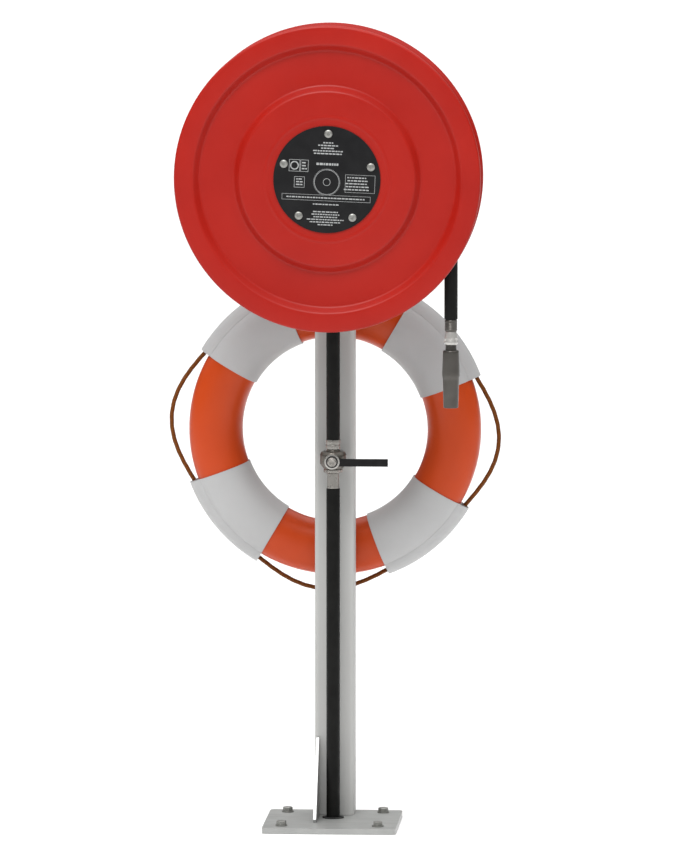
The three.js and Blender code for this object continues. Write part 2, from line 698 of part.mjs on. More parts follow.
function makeBushes() {
  const frontStart = HUB_FRONT_Y + HUB_MOUTH_DEPTH + BUSH_INSET;
  const rearStart = HUB_REAR_Y - BUSH_INSET - BUSH_LENGTH;
  const inner = AXLE_R + GAP;
  const outer = HUB_BORE_R - GAP;
  const front = pipeY(0, REEL_Z, frontStart, frontStart + BUSH_LENGTH, outer, inner, TURNED_SIDES);
  const rear = pipeY(0, REEL_Z, rearStart, rearStart + BUSH_LENGTH, outer, inner, TURNED_SIDES);
  add('front_bush', front, BRASS);
  add('rear_bush', rear, BRASS);
}

function makeAxle() {
  const front = REEL_FRONT_Y + AXLE_INSET;
  const flangeFront = BRACKET_FRONT_Y - GAP - AXLE_FLANGE_T;
  const shaft = rodY(0, REEL_Z, front, AXLE_REAR_Y, AXLE_R, TURNED_SIDES);
  const flange = rodY(0, REEL_Z, flangeFront, flangeFront + AXLE_FLANGE_T, AXLE_FLANGE_R, TURNED_SIDES);
  const bore = rodY(0, REEL_Z, REEL_MID_Y, AXLE_REAR_Y + CUT_PAST, AXLE_BORE_R);
  const portY = REEL_MID_Y + AXLE_PORT_R + CUT_PAST;
  const reach = AXLE_R + CUT_PAST;
  const portX = rodX(portY, REEL_Z, -reach, reach, AXLE_PORT_R, HOLE_SIDES);
  const portZ = rodZ(0, portY, REEL_Z - reach, REEL_Z + reach, AXLE_PORT_R, HOLE_SIDES);
  const axle = shaft.add(flange).subtract(bore).subtract(portX).subtract(portZ);
  add('axle', axle, BRIGHT_METAL);
  const nutRear = HUB_FRONT_Y + HUB_MOUTH_DEPTH - GAP;
  const nutFront = nutRear - NUT_H;
  const nut = rodY(0, REEL_Z, nutFront, nutRear, NUT_R, HEX_SIDES);
  const nutHole = rodY(0, REEL_Z, nutFront - CUT_PAST, nutRear + CUT_PAST, AXLE_R + GAP, TURNED_SIDES);
  add('axle_nut', nut.subtract(nutHole), BRIGHT_METAL);
}

function bracketBoltHeights() {
  return [REEL_Z - BRACKET_BOLT_RISE, REEL_Z + BRACKET_BOLT_RISE];
}

function makeBracket() {
  const w = BRACKET_W / 2;
  const rear = POST_FACE_Y - GAP;
  const z0 = REEL_Z - BRACKET_H / 2;
  const z1 = REEL_Z + BRACKET_H / 2;
  const outer = block(-w, w, BRACKET_FRONT_Y, rear, z0, z1);
  const innerFront = BRACKET_FRONT_Y + BRACKET_T;
  const innerRear = rear - BRACKET_T;
  const inner = block(-w + BRACKET_T, w - BRACKET_T, innerFront, innerRear, z0 - CUT_PAST, z1 + CUT_PAST);
  const holeFront = BRACKET_FRONT_Y - CUT_PAST;
  const axleHole = rodY(0, REEL_Z, holeFront, innerFront + CUT_PAST, AXLE_R + GAP, TURNED_SIDES);
  let bracket = outer.subtract(inner).subtract(axleHole);
  for (const z of bracketBoltHeights()) {
    const holeR = BRACKET_BOLT_R + HOLE_CLEAR;
    bracket = bracket.subtract(rodY(0, z, innerRear - CUT_PAST, rear + CUT_PAST, holeR, HOLE_SIDES));
  }
  add('reel_bracket', bracket, STAND_METAL);
  bracketBoltHeights().forEach((z, i) => {
    const faceY = innerRear - GAP;
    const head = [BRACKET_HEAD_AF, BRACKET_HEAD_H];
    const shank = [BRACKET_BOLT_R, BRACKET_BOLT_LENGTH];
    add(`bracket_bolt_${i + 1}`, hexHeadY(0, z, faceY, -1, ...head, ...shank), BOLT_STEEL);
  });
}

function makeElbow() {
  const front = AXLE_REAR_Y + GAP;
  const outer = rodY(0, REEL_Z, front, SUPPLY_Y, ELBOW_R)
    .add(ball(0, SUPPLY_Y, REEL_Z, ELBOW_R))
    .add(rodZ(0, SUPPLY_Y, elbowEndZ(), REEL_Z, ELBOW_R))
    .add(rodY(0, REEL_Z, front, front + ELBOW_FLANGE_T, ELBOW_FLANGE_R));
  const inner = rodY(0, REEL_Z, front - CUT_PAST, SUPPLY_Y, AXLE_BORE_R)
    .add(ball(0, SUPPLY_Y, REEL_Z, AXLE_BORE_R))
    .add(rodZ(0, SUPPLY_Y, elbowEndZ() - CUT_PAST, REEL_Z, AXLE_BORE_R));
  add('inlet_elbow', outer.subtract(inner), BRASS);
}

// Hose on the reel
function makeWinding() {
  const inset = SHEET_T + STEP_DEPTH + WINDING_SIDE_CLEAR;
  const y0 = REEL_FRONT_Y + inset;
  const y1 = REEL_REAR_Y - inset;
  add('hose_winding', pipeY(0, REEL_Z, y0, y1, WINDING_R, CORE_R + GAP, WIDE_SIDES), HOSE_RUBBER);
}

function makeTail() {
  const x = OUTER_TURN_R;
  const tube = rodZ(x, TAIL_Y, TAIL_END_Z + GAP, REEL_Z - TAIL_START_DROP, HOSE_R, HOLE_SIDES);
  const y0 = TAIL_Y - 2 * HOSE_R;
  const y1 = TAIL_Y + 2 * HOSE_R;
  const reelSpace = rodY(0, REEL_Z, y0, y1, WINDING_R + GAP, 2 * WIDE_SIDES);
  add('hose_tail', tube.subtract(reelSpace), HOSE_RUBBER);
}

function makeNozzle() {
  const x = OUTER_TURN_R;
  const ferrule = pipeZ(x, TAIL_Y, TAIL_FERRULE_END_Z + GAP, TAIL_END_Z, TAIL_FERRULE_R, NOZZLE_BORE_R);
  add('tail_ferrule', ferrule, NOZZLE_METAL);
  const swivelHole = NOZZLE_TUBE_R + GAP;
  const swivel = pipeZ(x, TAIL_Y, SWIVEL_END_Z + GAP, TAIL_FERRULE_END_Z, SWIVEL_R, swivelHole);
  add('nozzle_swivel_nut', swivel, BRIGHT_METAL);
  const bodyProfile = [
    [NOZZLE_BORE_R, SLEEVE_TIP_Z + TUBE_TIP_INSET],
    [NOZZLE_TUBE_R, SLEEVE_TIP_Z + TUBE_TIP_INSET],
    [NOZZLE_TUBE_R, NECK_END_Z],
    [NECK_R, NECK_END_Z],
    [NECK_R, SWIVEL_END_Z],
    [NOZZLE_TUBE_R, SWIVEL_END_Z],
    [NOZZLE_TUBE_R, TAIL_FERRULE_END_Z],
    [NOZZLE_BORE_R, TAIL_FERRULE_END_Z],
  ];
  add('nozzle_body', turnedZ(bodyProfile, ROUND_SIDES, x, TAIL_Y), NOZZLE_METAL);
  const sleeveProfile = [
    [NOZZLE_TUBE_R + GAP, NECK_END_Z - GAP],
    [SLEEVE_TOP_R, NECK_END_Z - GAP],
    [SLEEVE_MAX_R, SLEEVE_MAX_Z],
    [SLEEVE_TIP_R, SLEEVE_TIP_Z],
    [SLEEVE_MOUTH_R, SLEEVE_TIP_Z],
    [SLEEVE_MOUTH_R, SLEEVE_TIP_Z + SLEEVE_MOUTH_DEPTH],
    [NOZZLE_TUBE_R + GAP, SLEEVE_TIP_Z + SLEEVE_SEAT_DEPTH],
  ];
  add('nozzle_sleeve', turnedZ(sleeveProfile, ROUND_SIDES, x, TAIL_Y), NOZZLE_METAL);
}

// Lifebuoy
function buoySection(grow, steps = HOLE_SIDES) {
  const points = [];
  for (let i = 0; i < steps; i += 1) {
    const t = (2 * Math.PI * i) / steps;
    const c = Math.cos(t);
    const s = Math.sin(t);
    const a = BUOY_HALF_W + grow;
    const b = BUOY_DEPTH / 2 + grow;
    const u = Math.sign(c) * Math.abs(c) ** BUOY_ROUNDNESS * a;
    const v = Math.sign(s) * Math.abs(s) ** BUOY_ROUNDNESS * b;
    points.push([BUOY_MID_R + u, BUOY_Y + v]);
  }
  return points;
}

function bandMidDeg(i) {
  return BAND_FIRST_DEG + (360 * i) / BAND_COUNT;
}

function wedge(midDeg, halfSpanDeg, reach) {
  const shape = new THREE.Shape();
  shape.moveTo(0, 0);
  const far = reach / Math.cos(rad(halfSpanDeg));
  for (const side of [-1, 1]) {
    const angle = rad(midDeg + side * halfSpanDeg);
    shape.lineTo(far * Math.cos(angle), far * Math.sin(angle));
  }
  const depth = BUOY_DEPTH * 2;
  const geometry = new THREE.ExtrudeGeometry(shape, { depth, bevelEnabled: false });
  geometry.translate(0, 0, -depth / 2);
  geometry.rotateX(Math.PI / 2);
  geometry.translate(BUOY_X, BUOY_Y, BUOY_Z);
  return solid(geometry);
}

function makeBuoy() {
  const ring = turnedY(buoySection(0), WIDE_SIDES, BUOY_X, BUOY_Z);
  add('buoy_ring', ring, BUOY_ORANGE);
  const skin = turnedY(buoySection(GAP + BAND_T), WIDE_SIDES, BUOY_X, BUOY_Z);
  const space = turnedY(buoySection(GAP), WIDE_SIDES, BUOY_X, BUOY_Z);
  const lipY0 = BUOY_Y - BAND_LIP_T / 2;
  const lipY1 = BUOY_Y + BAND_LIP_T / 2;
  const lip = pipeY(BUOY_X, BUOY_Z, lipY0, lipY1, BAND_LIP_R, BUOY_OUTER_R - BAND_LIP_ROOT, WIDE_SIDES);
  const sleeve = skin.add(lip).subtract(space);
  for (let i = 0; i < BAND_COUNT; i += 1) {
    const band = sleeve.intersect(wedge(bandMidDeg(i), BAND_SPAN_DEG / 2, 2 * BUOY_OUTER_R));
    add(`buoy_band_${i + 1}`, band, BAND_GREY);
  }
}

function lineBulge(i) {
  if (i === 0) return UPPER_LINE_BULGE;
  if (i === 2) return LOWER_LINE_BULGE;
  return SIDE_LINE_BULGE;
}

function lineTrimDeg() {
  return THREE.MathUtils.radToDeg(GAP / LINE_SEAT_R);
}

function grabLine(i) {
  const trim = lineTrimDeg();
  const start = bandMidDeg(i) + BAND_SPAN_DEG / 2 + trim;
  const end = bandMidDeg(i + 1) - BAND_SPAN_DEG / 2 - trim;
  const points = [];
  for (let k = 0; k <= LINE_STEPS; k += 1) {
    const t = k / LINE_STEPS;
    const angle = rad(start + (end - start) * t);
    const r = LINE_SEAT_R + lineBulge(i) * Math.sin(Math.PI * t) ** 2;
    points.push(new THREE.Vector3(BUOY_X + r * Math.cos(angle), BUOY_Y, BUOY_Z + r * Math.sin(angle)));
  }
  return new THREE.CatmullRomCurve3(points);
}

function makeGrabLines() {
  const section = new THREE.Shape();
  section.absarc(0, 0, LINE_R, 0, 2 * Math.PI);
  for (let i = 0; i < BAND_COUNT; i += 1) {
    const geometry = new THREE.ExtrudeGeometry(section, {
      steps: LINE_STEPS,
      curveSegments: LINE_SECTION_STEPS,
      bevelEnabled: false,
      extrudePath: grabLine(i),
    });
    const halfSpan = HALF_BAND_PITCH_DEG - BAND_SPAN_DEG / 2 - lineTrimDeg();
    const between = wedge(bandMidDeg(i) + HALF_BAND_PITCH_DEG, halfSpan, 2 * BUOY_OUTER_R);
    add(`grab_line_${i + 1}`, solid(geometry).intersect(between), LINE_BROWN);
  }
}

function hookBoltHeights() {
  const armTop = BUOY_Z + BUOY_INNER_R - HOOK_SAG;
  return HOOK_BOLT_DROPS.map((drop) => armTop - HOOK_T - drop);
}

function makeHook() {
  const armTop = BUOY_Z + BUOY_INNER_R - HOOK_SAG;
  const y0 = POST_HALF + GAP;
  const tipY = BUOY_Y + BUOY_DEPTH / 2 + HOOK_T;
  const plate = block(-HOOK_W / 2, HOOK_W / 2, y0, y0 + HOOK_PLATE_T, armTop - HOOK_PLATE_H, armTop);
  const arm = block(-HOOK_W / 2, HOOK_W / 2, y0, tipY + HOOK_T, armTop - HOOK_T, armTop);
  const tip = block(-HOOK_W / 2, HOOK_W / 2, tipY, tipY + HOOK_T, armTop - HOOK_T, armTop + HOOK_TIP_RISE);
  let hook = plate.add(arm).add(tip);
  for (const z of hookBoltHeights()) {
    const y1 = y0 + HOOK_PLATE_T + CUT_PAST;
    hook = hook.subtract(rodY(0, z, y0 - CUT_PAST, y1, HOOK_BOLT_R + HOLE_CLEAR, HOLE_SIDES));
  }
  add('buoy_hook', hook, STAND_METAL);
  hookBoltHeights().forEach((z, i) => {
    const faceY = y0 + HOOK_PLATE_T + GAP;
    const head = [HOOK_HEAD_AF, HOOK_HEAD_H];
    const shank = [HOOK_BOLT_R, HOOK_BOLT_LENGTH];
    add(`hook_bolt_${i + 1}`, hexHeadY(0, z, faceY, 1, ...head, ...shank), BOLT_STEEL);
  });
}

makeBasePlate();
makeAnchorBolts();
makePost();
makePostCap();
makeGusset();
makeGrommet();
makeSupplyHoses();
makeValveBody();
makeValveEnd();
makeValveInside();
makeLever();
makeBracket();
makeAxle();
makeElbow();
makeBushes();
makeHub();
makeDiscs();
makeDrumCore();
makeLabel();
makeWinding();
makeTail();
makeNozzle();
makeBuoy();
makeGrabLines();
makeHook();

export default group;
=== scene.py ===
"""Looks of a fire hose reel stand: red two-disc reel, supply line with a ball valve, twist nozzle, lifebuoy.

Metres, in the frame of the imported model: origin on the post's axis under the base plate, +Z up, -Y front.
"""

import math
import random

import bmesh
import bpy
from mathutils import Matrix, Vector


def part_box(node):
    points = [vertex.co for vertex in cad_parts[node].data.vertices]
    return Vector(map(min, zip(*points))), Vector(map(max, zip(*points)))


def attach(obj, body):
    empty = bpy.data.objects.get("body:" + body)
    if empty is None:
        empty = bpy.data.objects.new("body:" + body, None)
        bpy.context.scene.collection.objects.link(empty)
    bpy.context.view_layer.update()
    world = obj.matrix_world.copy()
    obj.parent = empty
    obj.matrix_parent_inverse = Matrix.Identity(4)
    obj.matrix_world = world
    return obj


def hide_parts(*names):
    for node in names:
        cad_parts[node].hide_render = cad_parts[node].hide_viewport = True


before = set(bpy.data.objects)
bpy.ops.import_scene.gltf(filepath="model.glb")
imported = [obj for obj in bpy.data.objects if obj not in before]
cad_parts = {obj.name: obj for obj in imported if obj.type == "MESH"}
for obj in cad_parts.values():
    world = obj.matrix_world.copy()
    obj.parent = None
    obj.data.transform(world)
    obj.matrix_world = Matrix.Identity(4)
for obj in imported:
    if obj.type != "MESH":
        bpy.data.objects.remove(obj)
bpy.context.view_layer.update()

MM = 0.001
TAU = 2 * math.pi

# Camera: direction from the object, distance, aim point and lens
CAMERA_AZIMUTH = 3.474
CAMERA_ELEVATION = 5.883
CAMERA_DISTANCE = 18.4
CAMERA_TARGET = Vector((0.0195, 0, 0.7979))
CAMERA_LENS = 376.5

# Hose on the reel
HOSE_D = 27 * MM
LAYERS = 6
LAYER_STEP = 23.0 * MM
LAYER_TURNS = 3.2
LAST_TURNS = 1.5
POINTS_PER_TURN = 28
TURN_CLEAR = 1 * MM
CUT = 0.5 * MM
SQUEEZED_HOSE_R = 9.6 * MM
SQUEEZED_HOSE_REACH = 20 * MM

# Supply line
SUPPLY_R = 13.75 * MM
SUPPLY_BORE_R = 9.5 * MM
SLEEVE_SEAT_R = 14.05 * MM
GROMMET_SEAT_R = 14.1 * MM
GROMMET_HOLE_R = 19.7 * MM
GROMMET_LIP_T = 2.1 * MM
ELBOW_R = 15 * MM
ELBOW_BEND_R = 20 * MM

# Valve and lever
BARREL_HALF = 18 * MM
TAIL_NIPPLE_R = 12.3 * MM
STEM_HOLE_R = 5.3 * MM
LEVER_EYE_R = 14 * MM
LEVER_HALF_H = 7.75 * MM
LEVER_NECK = 13 * MM
LEVER_CORNER_R = 1.2 * MM
LEVER_DROP = 1.6 * MM

# Nozzle
SWIVEL_BORE_R = 9.8 * MM
STEM_SEAT_R = 9 * MM
JET_R = 5 * MM
THREAD_PITCH = 2.2 * MM
SLEEVE_BORE_R = 9.3 * MM

# Pressed sheet discs of the reel: trough, rolled rim and bores
TROUGH = 14 * MM
DISC_SHEET = 3 * MM
DISC_ROLL = 5 * MM
FRONT_LIP = 11 * MM
REAR_LIP = 14 * MM
REAR_TURN_IN = 9 * MM
FRONT_DISC_BORE = 34 * MM
REAR_DISC_BORE = 20 * MM
DISC_SEGMENTS = 192

# Lifebuoy
BUOY_WIDTH = 110 * MM
BUOY_HALF_DEPTH = 50 * MM
BUOY_MIDDLE_R = 245 * MM
BUOY_SQUARENESS = 0.85
BUOY_STEPS = 56
SEAM_DEPTH = 0.6 * MM
SEAM_HALF_WIDTH = 2.2 * MM
BAND_COUNT = 4
BAND_SPAN = 39
BAND_FIRST = 40
LINE_D = 9 * MM
LINE_SEAT_R = 309 * MM
LINE_BULGES = (6 * MM, 28 * MM, 22 * MM, 28 * MM)
HEM_CENTRE_R = 311 * MM
HEM_HALF_WIDTH = 8.2 * MM
HEM_HALF_DEPTH = 6.3 * MM
HEM_SHEET = 1.2 * MM
BAND_T = 2.8 * MM
BAND_CLEAR = 0.4 * MM
BAND_STEPS = 20

# Base and post
POST_WALL = 5 * MM
POST_CORNER_R = 10 * MM
AXLE_R = 18 * MM
WASHER_T = 2.5 * MM
SEAT_GAP = 0.3 * MM

PRINT_TILT = math.radians(-2.3)

# Studio: a sky that is dark at its sides, one high soft light and a white floor
WORLD_STRENGTH = 1.9
WORLD_SIDES = 0.06
KEY_PLACE = (-0.8, -3.6, 6.2)
KEY_AIM = (0, 0, 1.0)
KEY_SIZE = (3.0, 2.0)
KEY_WATTS = 270
FLOOR_HALF = 90


# ---------------------------------------------------------------- geometry helpers

def centre_of(node):
    low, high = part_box(node)
    return (low + high) / 2


def on_plan(node, z):
    """The point at height z on the upright line through the node's middle."""
    middle = centre_of(node)
    return Vector((middle.x, middle.y, z))


def radius_of(node):
    low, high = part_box(node)
    return (high.x - low.x) / 2


def new_object(name, bm, smooth_angle=32):
    """A scene object from a bmesh, shaded smooth except across edges sharper than smooth_angle."""
    bmesh.ops.recalc_face_normals(bm, faces=bm.faces)
    mesh = bpy.data.meshes.new(name)
    bm.to_mesh(mesh)
    bm.free()
    for face in mesh.polygons:
        face.use_smooth = True
    mesh.set_sharp_from_angle(angle=math.radians(smooth_angle))
    obj = bpy.data.objects.new(name, mesh)
    bpy.context.scene.collection.objects.link(obj)
    return obj


def filleted(profile, radius, steps=3, closed=False):
    """The profile with each inner corner rounded by up to radius."""
    points = [Vector(p) for p in profile]
    count = len(points)
    out = []
    for i, here in enumerate(points):
        if not closed and i in (0, count - 1):
            out.append(here)
            continue
        before = points[i - 1] - here
        after = points[(i + 1) % count] - here
        reach = min(radius, 0.45 * before.length, 0.45 * after.length)
        start = here + before.normalized() * reach
        end = here + after.normalized() * reach
        for k in range(steps + 1):
            t = k / steps
            out.append(start * (1 - t) ** 2 + here * 2 * t * (1 - t) + end * t**2)
    return [(p.x, p.y) for p in out]


def turned(name, profile, centre, axis="Z", segments=72, closed=False, phase=0.0, smooth_angle=32):
    """A solid turned about an axis through centre, from (radius, distance along the axis) points."""
    bm = bmesh.new()
    rings = []
    for radius, along in profile:
        if radius < 1e-7:
            rings.append([bm.verts.new(on_axis(centre, axis, 0, 0, along))])
            continue
        ring = []
        for k in range(segments):
            angle = TAU * k / segments + phase
            ring.append(bm.verts.new(on_axis(centre, axis, radius, angle, along)))
        rings.append(ring)
    pairs = list(zip(rings, rings[1:]))
    if closed:
        pairs.append((rings[-1], rings[0]))
    for a, b in pairs:
        for k in range(segments):
            n = (k + 1) % segments
            corners = [a[k % len(a)], a[n % len(a)], b[n % len(b)], b[k % len(b)]]
            unique = list(dict.fromkeys(corners))
            if len(unique) > 2:
                bm.faces.new(unique)
    return new_object(name, bm, smooth_angle)


def on_axis(centre, axis, radius, angle, along):
    u = radius * math.cos(angle)
    v = radius * math.sin(angle)
    if axis == "Z":
        return centre + Vector((u, v, along))
    if axis == "Y":
        return centre + Vector((u, along, v))
    return centre + Vector((along, u, v))


def merged(name, parts, smooth_angle=32):
    """One object made of several, which are removed."""
    bm = bmesh.new()
    for part in parts:
        bm.from_mesh(part.data)
        mesh = part.data
        bpy.data.objects.remove(part)
        bpy.data.meshes.remove(mesh)
    return new_object(name, bm, smooth_angle)


def bevelled(obj, width, segments=2, angle=35):
    modifier = obj.modifiers.new("edge_bevel", "BEVEL")
    modifier.width = width
    modifier.segments = segments
    modifier.limit_method = "ANGLE"
    modifier.angle_limit = math.radians(angle)
    return obj


def arc(x, z, radius, start, end, steps):
    """Points of an arc between two angles in degrees."""
    points = []
    for k in range(steps + 1):
        angle = math.radians(start + (end - start) * k / steps)
        points.append((x + radius * math.cos(angle), z + radius * math.sin(angle)))
    return points


def slab(name, outline, y0, y1, smooth_angle=32):
    """A plate between y0 and y1 with an outline of (x, z) points."""
    bm = bmesh.new()
    front = [bm.verts.new((x, y0, z)) for x, z in outline]
    back = [bm.verts.new((x, y1, z)) for x, z in outline]
    bm.faces.new(front)
    bm.faces.new(list(reversed(back)))
    for i in range(len(outline)):
        n = (i + 1) % len(outline)
        bm.faces.new([front[i], front[n], back[n], back[i]])
    return new_object(name, bm, smooth_angle)


def frames_along(path):
    """A steady pair of side directions at each point of a path."""
    tangents = []
    for i in range(len(path)):
        tangents.append((path[min(i + 1, len(path) - 1)] - path[max(i - 1, 0)]).normalized())
    side = tangents[0].orthogonal().normalized()
    frames = []
    for tangent in tangents:
        side = (side - tangent * side.dot(tangent)).normalized()
        frames.append((side, tangent.cross(side)))
    return frames


def swept(name, path, radius_at, sides, smooth_angle=60):
    """A closed tube along path; radius_at(length along, angle) gives its radius."""
    bm = bmesh.new()
    rings = []
    length = 0.0
    for i, (point, (u, v)) in enumerate(zip(path, frames_along(path))):
        if i:
            length += (point - path[i - 1]).length
        ring = []
        for k in range(sides):
            angle = TAU * k / sides
            r = radius_at(length, angle)
            ring.append(bm.verts.new(point + (u * math.cos(angle) + v * math.sin(angle)) * r))
        rings.append(ring)
    for a, b in zip(rings, rings[1:]):
        for k in range(sides):
            n = (k + 1) % sides
            bm.faces.new([a[k], a[n], b[n], b[k]])
    bm.faces.new(rings[0])
    bm.faces.new(rings[-1])
    return new_object(name, bm, smooth_angle)


def hex_solid(name, centre, z0, z1, across_flats, chamfer, phase=0.0, axis="Z"):
    """A hexagonal nut or head whose two ends are chamfered."""
    r = across_flats / math.sqrt(3)
    profile = [(0, z0), (r - chamfer, z0), (r, z0 + chamfer)]
    profile += [(r, z1 - chamfer), (r - chamfer, z1), (0, z1)]
    return turned(name, profile, centre, axis, 6, phase=phase, smooth_angle=20)


# ---------------------------------------------------------------- materials

def srgb(r, g, b):
    linear = []
    for value in (r, g, b):
        c = value / 255
        linear.append(c / 12.92 if c <= 0.04045 else ((c + 0.055) / 1.055) ** 2.4)
    return (*linear, 1)


class Surface:
    """A procedural material: a Principled shader with the nodes that vary its colour, roughness and bump."""

    def __init__(self, name, roughness, metallic=0.0, **sockets):
        self.material = bpy.data.materials.new(name)
        self.material.use_nodes = True
        self.nodes = self.material.node_tree.nodes
        self.links = self.material.node_tree.links
        self.shader = self.nodes["Principled BSDF"]
        self.shader.inputs["Roughness"].default_value = roughness
        self.shader.inputs["Metallic"].default_value = metallic
        for socket, value in sockets.items():
            self.shader.inputs[socket.replace("_", " ")].default_value = value
        self.coords = self.nodes.new("ShaderNodeTexCoord").outputs["Object"]
        self.height = None

    def scaled(self, stretch):
        mapping = self.nodes.new("ShaderNodeMapping")
        mapping.inputs["Scale"].default_value = stretch
        self.links.new(self.coords, mapping.inputs["Vector"])
        return mapping.outputs["Vector"]

    def noise(self, scale, detail=4, stretch=(1, 1, 1)):
        node = self.nodes.new("ShaderNodeTexNoise")
        node.inputs["Scale"].default_value = scale
        node.inputs["Detail"].default_value = detail
        self.links.new(self.scaled(stretch), node.inputs["Vector"])
        return node.outputs["Fac"]

    def waves(self, scale, direction, distortion=0.0):
        node = self.nodes.new("ShaderNodeTexWave")
        node.bands_direction = direction
        node.inputs["Scale"].default_value = scale
        node.inputs["Distortion"].default_value = distortion
        self.links.new(self.coords, node.inputs["Vector"])
        return node.outputs["Fac"]

    def between(self, source, low, high):
        """source, spread over low to high."""
        node = self.nodes.new("ShaderNodeMapRange")
        node.inputs["From Min"].default_value = 0.3
        node.inputs["From Max"].default_value = 0.7
        node.inputs["To Min"].default_value = low
        node.inputs["To Max"].default_value = high
        self.links.new(source, node.inputs["Value"])
        return node.outputs["Result"]

    def multiplied(self, a, b):
        node = self.nodes.new("ShaderNodeMath")
        node.operation = "MULTIPLY"
        self.links.new(a, node.inputs[0])
        self.links.new(b, node.inputs[1])
        return node.outputs[0]

    def colours(self, source, dark, light):
        ramp = self.nodes.new("ShaderNodeValToRGB")
        ramp.color_ramp.elements[0].position = 0.32
        ramp.color_ramp.elements[0].color = dark
        ramp.color_ramp.elements[1].position = 0.68
        ramp.color_ramp.elements[1].color = light
        self.links.new(source, ramp.inputs["Fac"])
        self.links.new(ramp.outputs["Color"], self.shader.inputs["Base Color"])
        return self

    def roughness(self, source, low, high):
        self.links.new(self.between(source, low, high), self.shader.inputs["Roughness"])
        return self

    def bump(self, source, distance, strength=1.0):
        node = self.nodes.new("ShaderNodeBump")
        node.inputs["Distance"].default_value = distance
        node.inputs["Strength"].default_value = strength
        self.links.new(source, node.inputs["Height"])
        if self.height is not None:
            self.links.new(self.height, node.inputs["Normal"])
        self.height = node.outputs["Normal"]
        self.links.new(self.height, self.shader.inputs["Normal"])
        return self


def stand_metal():
    s = Surface("satin_stand_metal", 0.5, 0.0, Specular_IOR_Level=0.03)
    s.colours(s.noise(14, 4, (1, 1, 0.15)), srgb(174, 174, 172), srgb(182, 182, 180))
    s.roughness(s.noise(60, 3, (1, 1, 0.08)), 0.4, 0.5)
    return s.bump(s.noise(900, 2, (1, 1, 0.05)), 0.05 * MM, 0.35).material


def plate_metal():
    s = Surface("brushed_plate_metal", 0.42, 0.5)
    s.colours(s.noise(22, 4), srgb(158, 159, 157), srgb(168, 169, 167))
    s.roughness(s.noise(120, 3, (0.06, 1, 1)), 0.36, 0.52)
    return s.bump(s.noise(1000, 2, (0.05, 1, 1)), 0.05 * MM, 0.4).material


def gusset_metal():
    s = Surface("bright_gusset_metal", 0.38, 0.6)
    s.colours(s.noise(30, 4), srgb(146, 147, 146), srgb(156, 157, 156))
    return s.bump(s.noise(700, 2), 0.04 * MM, 0.3).material


def bolt_steel():
    s = Surface("zinc_bolt_steel", 0.4, 0.7)
    s.colours(s.noise(160, 4), srgb(132, 132, 128), srgb(150, 150, 146))
    s.roughness(s.noise(300, 3), 0.34, 0.48)
    return s.bump(s.noise(1400, 2), 0.03 * MM, 0.4).material


def red_paint():
    s = Surface("red_powder_coat", 0.36, 0.0, Specular_IOR_Level=0.22)
    s.colours(s.noise(6, 5), srgb(148, 20, 10), srgb(157, 25, 14))
    s.roughness(s.noise(40, 4), 0.34, 0.44)
    s.bump(s.noise(420, 2), 0.04 * MM, 0.3)
    return s.bump(s.noise(9, 2), 0.5 * MM, 0.08).material


def label_black():
    s = Surface("label_film_black", 0.45, 0.0, Specular_IOR_Level=0.12)
    s.colours(s.noise(35, 4), srgb(22, 22, 23), srgb(28, 28, 29))
    s.roughness(s.noise(90, 3), 0.4, 0.52)
    return s.bump(s.noise(1200, 2), 0.02 * MM, 0.3).material


def label_print():
    s = Surface("label_print_grey", 0.5, 0.0)
    s.colours(s.noise(260, 4), srgb(138, 140, 140), srgb(168, 170, 170))
    return s.bump(s.noise(1500, 2), 0.02 * MM, 0.3).material


def hose_rubber():
    s = Surface("black_hose_rubber", 0.5, 0.0, Specular_IOR_Level=0.12)
    s.colours(s.noise(40, 5), srgb(15, 15, 14), srgb(22, 22, 21))
    s.roughness(s.noise(110, 4), 0.42, 0.6)
    s.bump(s.waves(260, "DIAGONAL"), 0.12 * MM, 0.25)
    return s.bump(s.noise(700, 3), 0.08 * MM, 0.4).material


def wound_rubber():
    s = Surface("wound_hose_rubber", 0.5, 0.0, Specular_IOR_Level=0.25)
    s.colours(s.noise(30, 5), srgb(16, 16, 16), srgb(25, 25, 25))
    s.roughness(s.noise(80, 4), 0.45, 0.65)
    return s.bump(s.noise(600, 3), 0.1 * MM, 0.4).material


def valve_metal():
    s = Surface("forged_valve_nickel", 0.3, 0.6)
    s.colours(s.noise(30, 4), srgb(88, 84, 78), srgb(98, 94, 88))
    s.roughness(s.noise(60, 3), 0.26, 0.32)
    return s.bump(s.noise(900, 3), 0.02 * MM, 0.3).material


def bright_metal():
    s = Surface("polished_steel", 0.24, 0.85)
    s.colours(s.noise(40, 4), srgb(156, 154, 150), srgb(166, 164, 160))
    s.roughness(s.noise(80, 3), 0.2, 0.27)
    return s.bump(s.noise(1300, 2), 0.01 * MM, 0.2).material


def swivel_metal():
    s = Surface("turned_swivel_steel", 0.24, 0.45)
    s.colours(s.noise(40, 4), srgb(176, 174, 170), srgb(188, 186, 182))
    s.roughness(s.noise(80, 3), 0.2, 0.28)
    return s.bump(s.noise(1300, 2), 0.01 * MM, 0.2).material


def ferrule_metal():
    s = Surface("pressed_ferrule_steel", 0.28, 0.7)
    s.colours(s.noise(40, 4), srgb(138, 135, 130), srgb(150, 147, 142))
    s.roughness(s.noise(80, 3), 0.25, 0.32)
    return s.bump(s.noise(1100, 2), 0.01 * MM, 0.25).material


def lever_black():
    s = Surface("black_dipped_vinyl", 0.42, 0.0, Specular_IOR_Level=0.14)
    s.colours(s.noise(60, 4), srgb(19, 19, 20), srgb(26, 26, 27))
    s.roughness(s.noise(160, 3), 0.36, 0.5)
    return s.bump(s.noise(800, 2), 0.05 * MM, 0.4).material


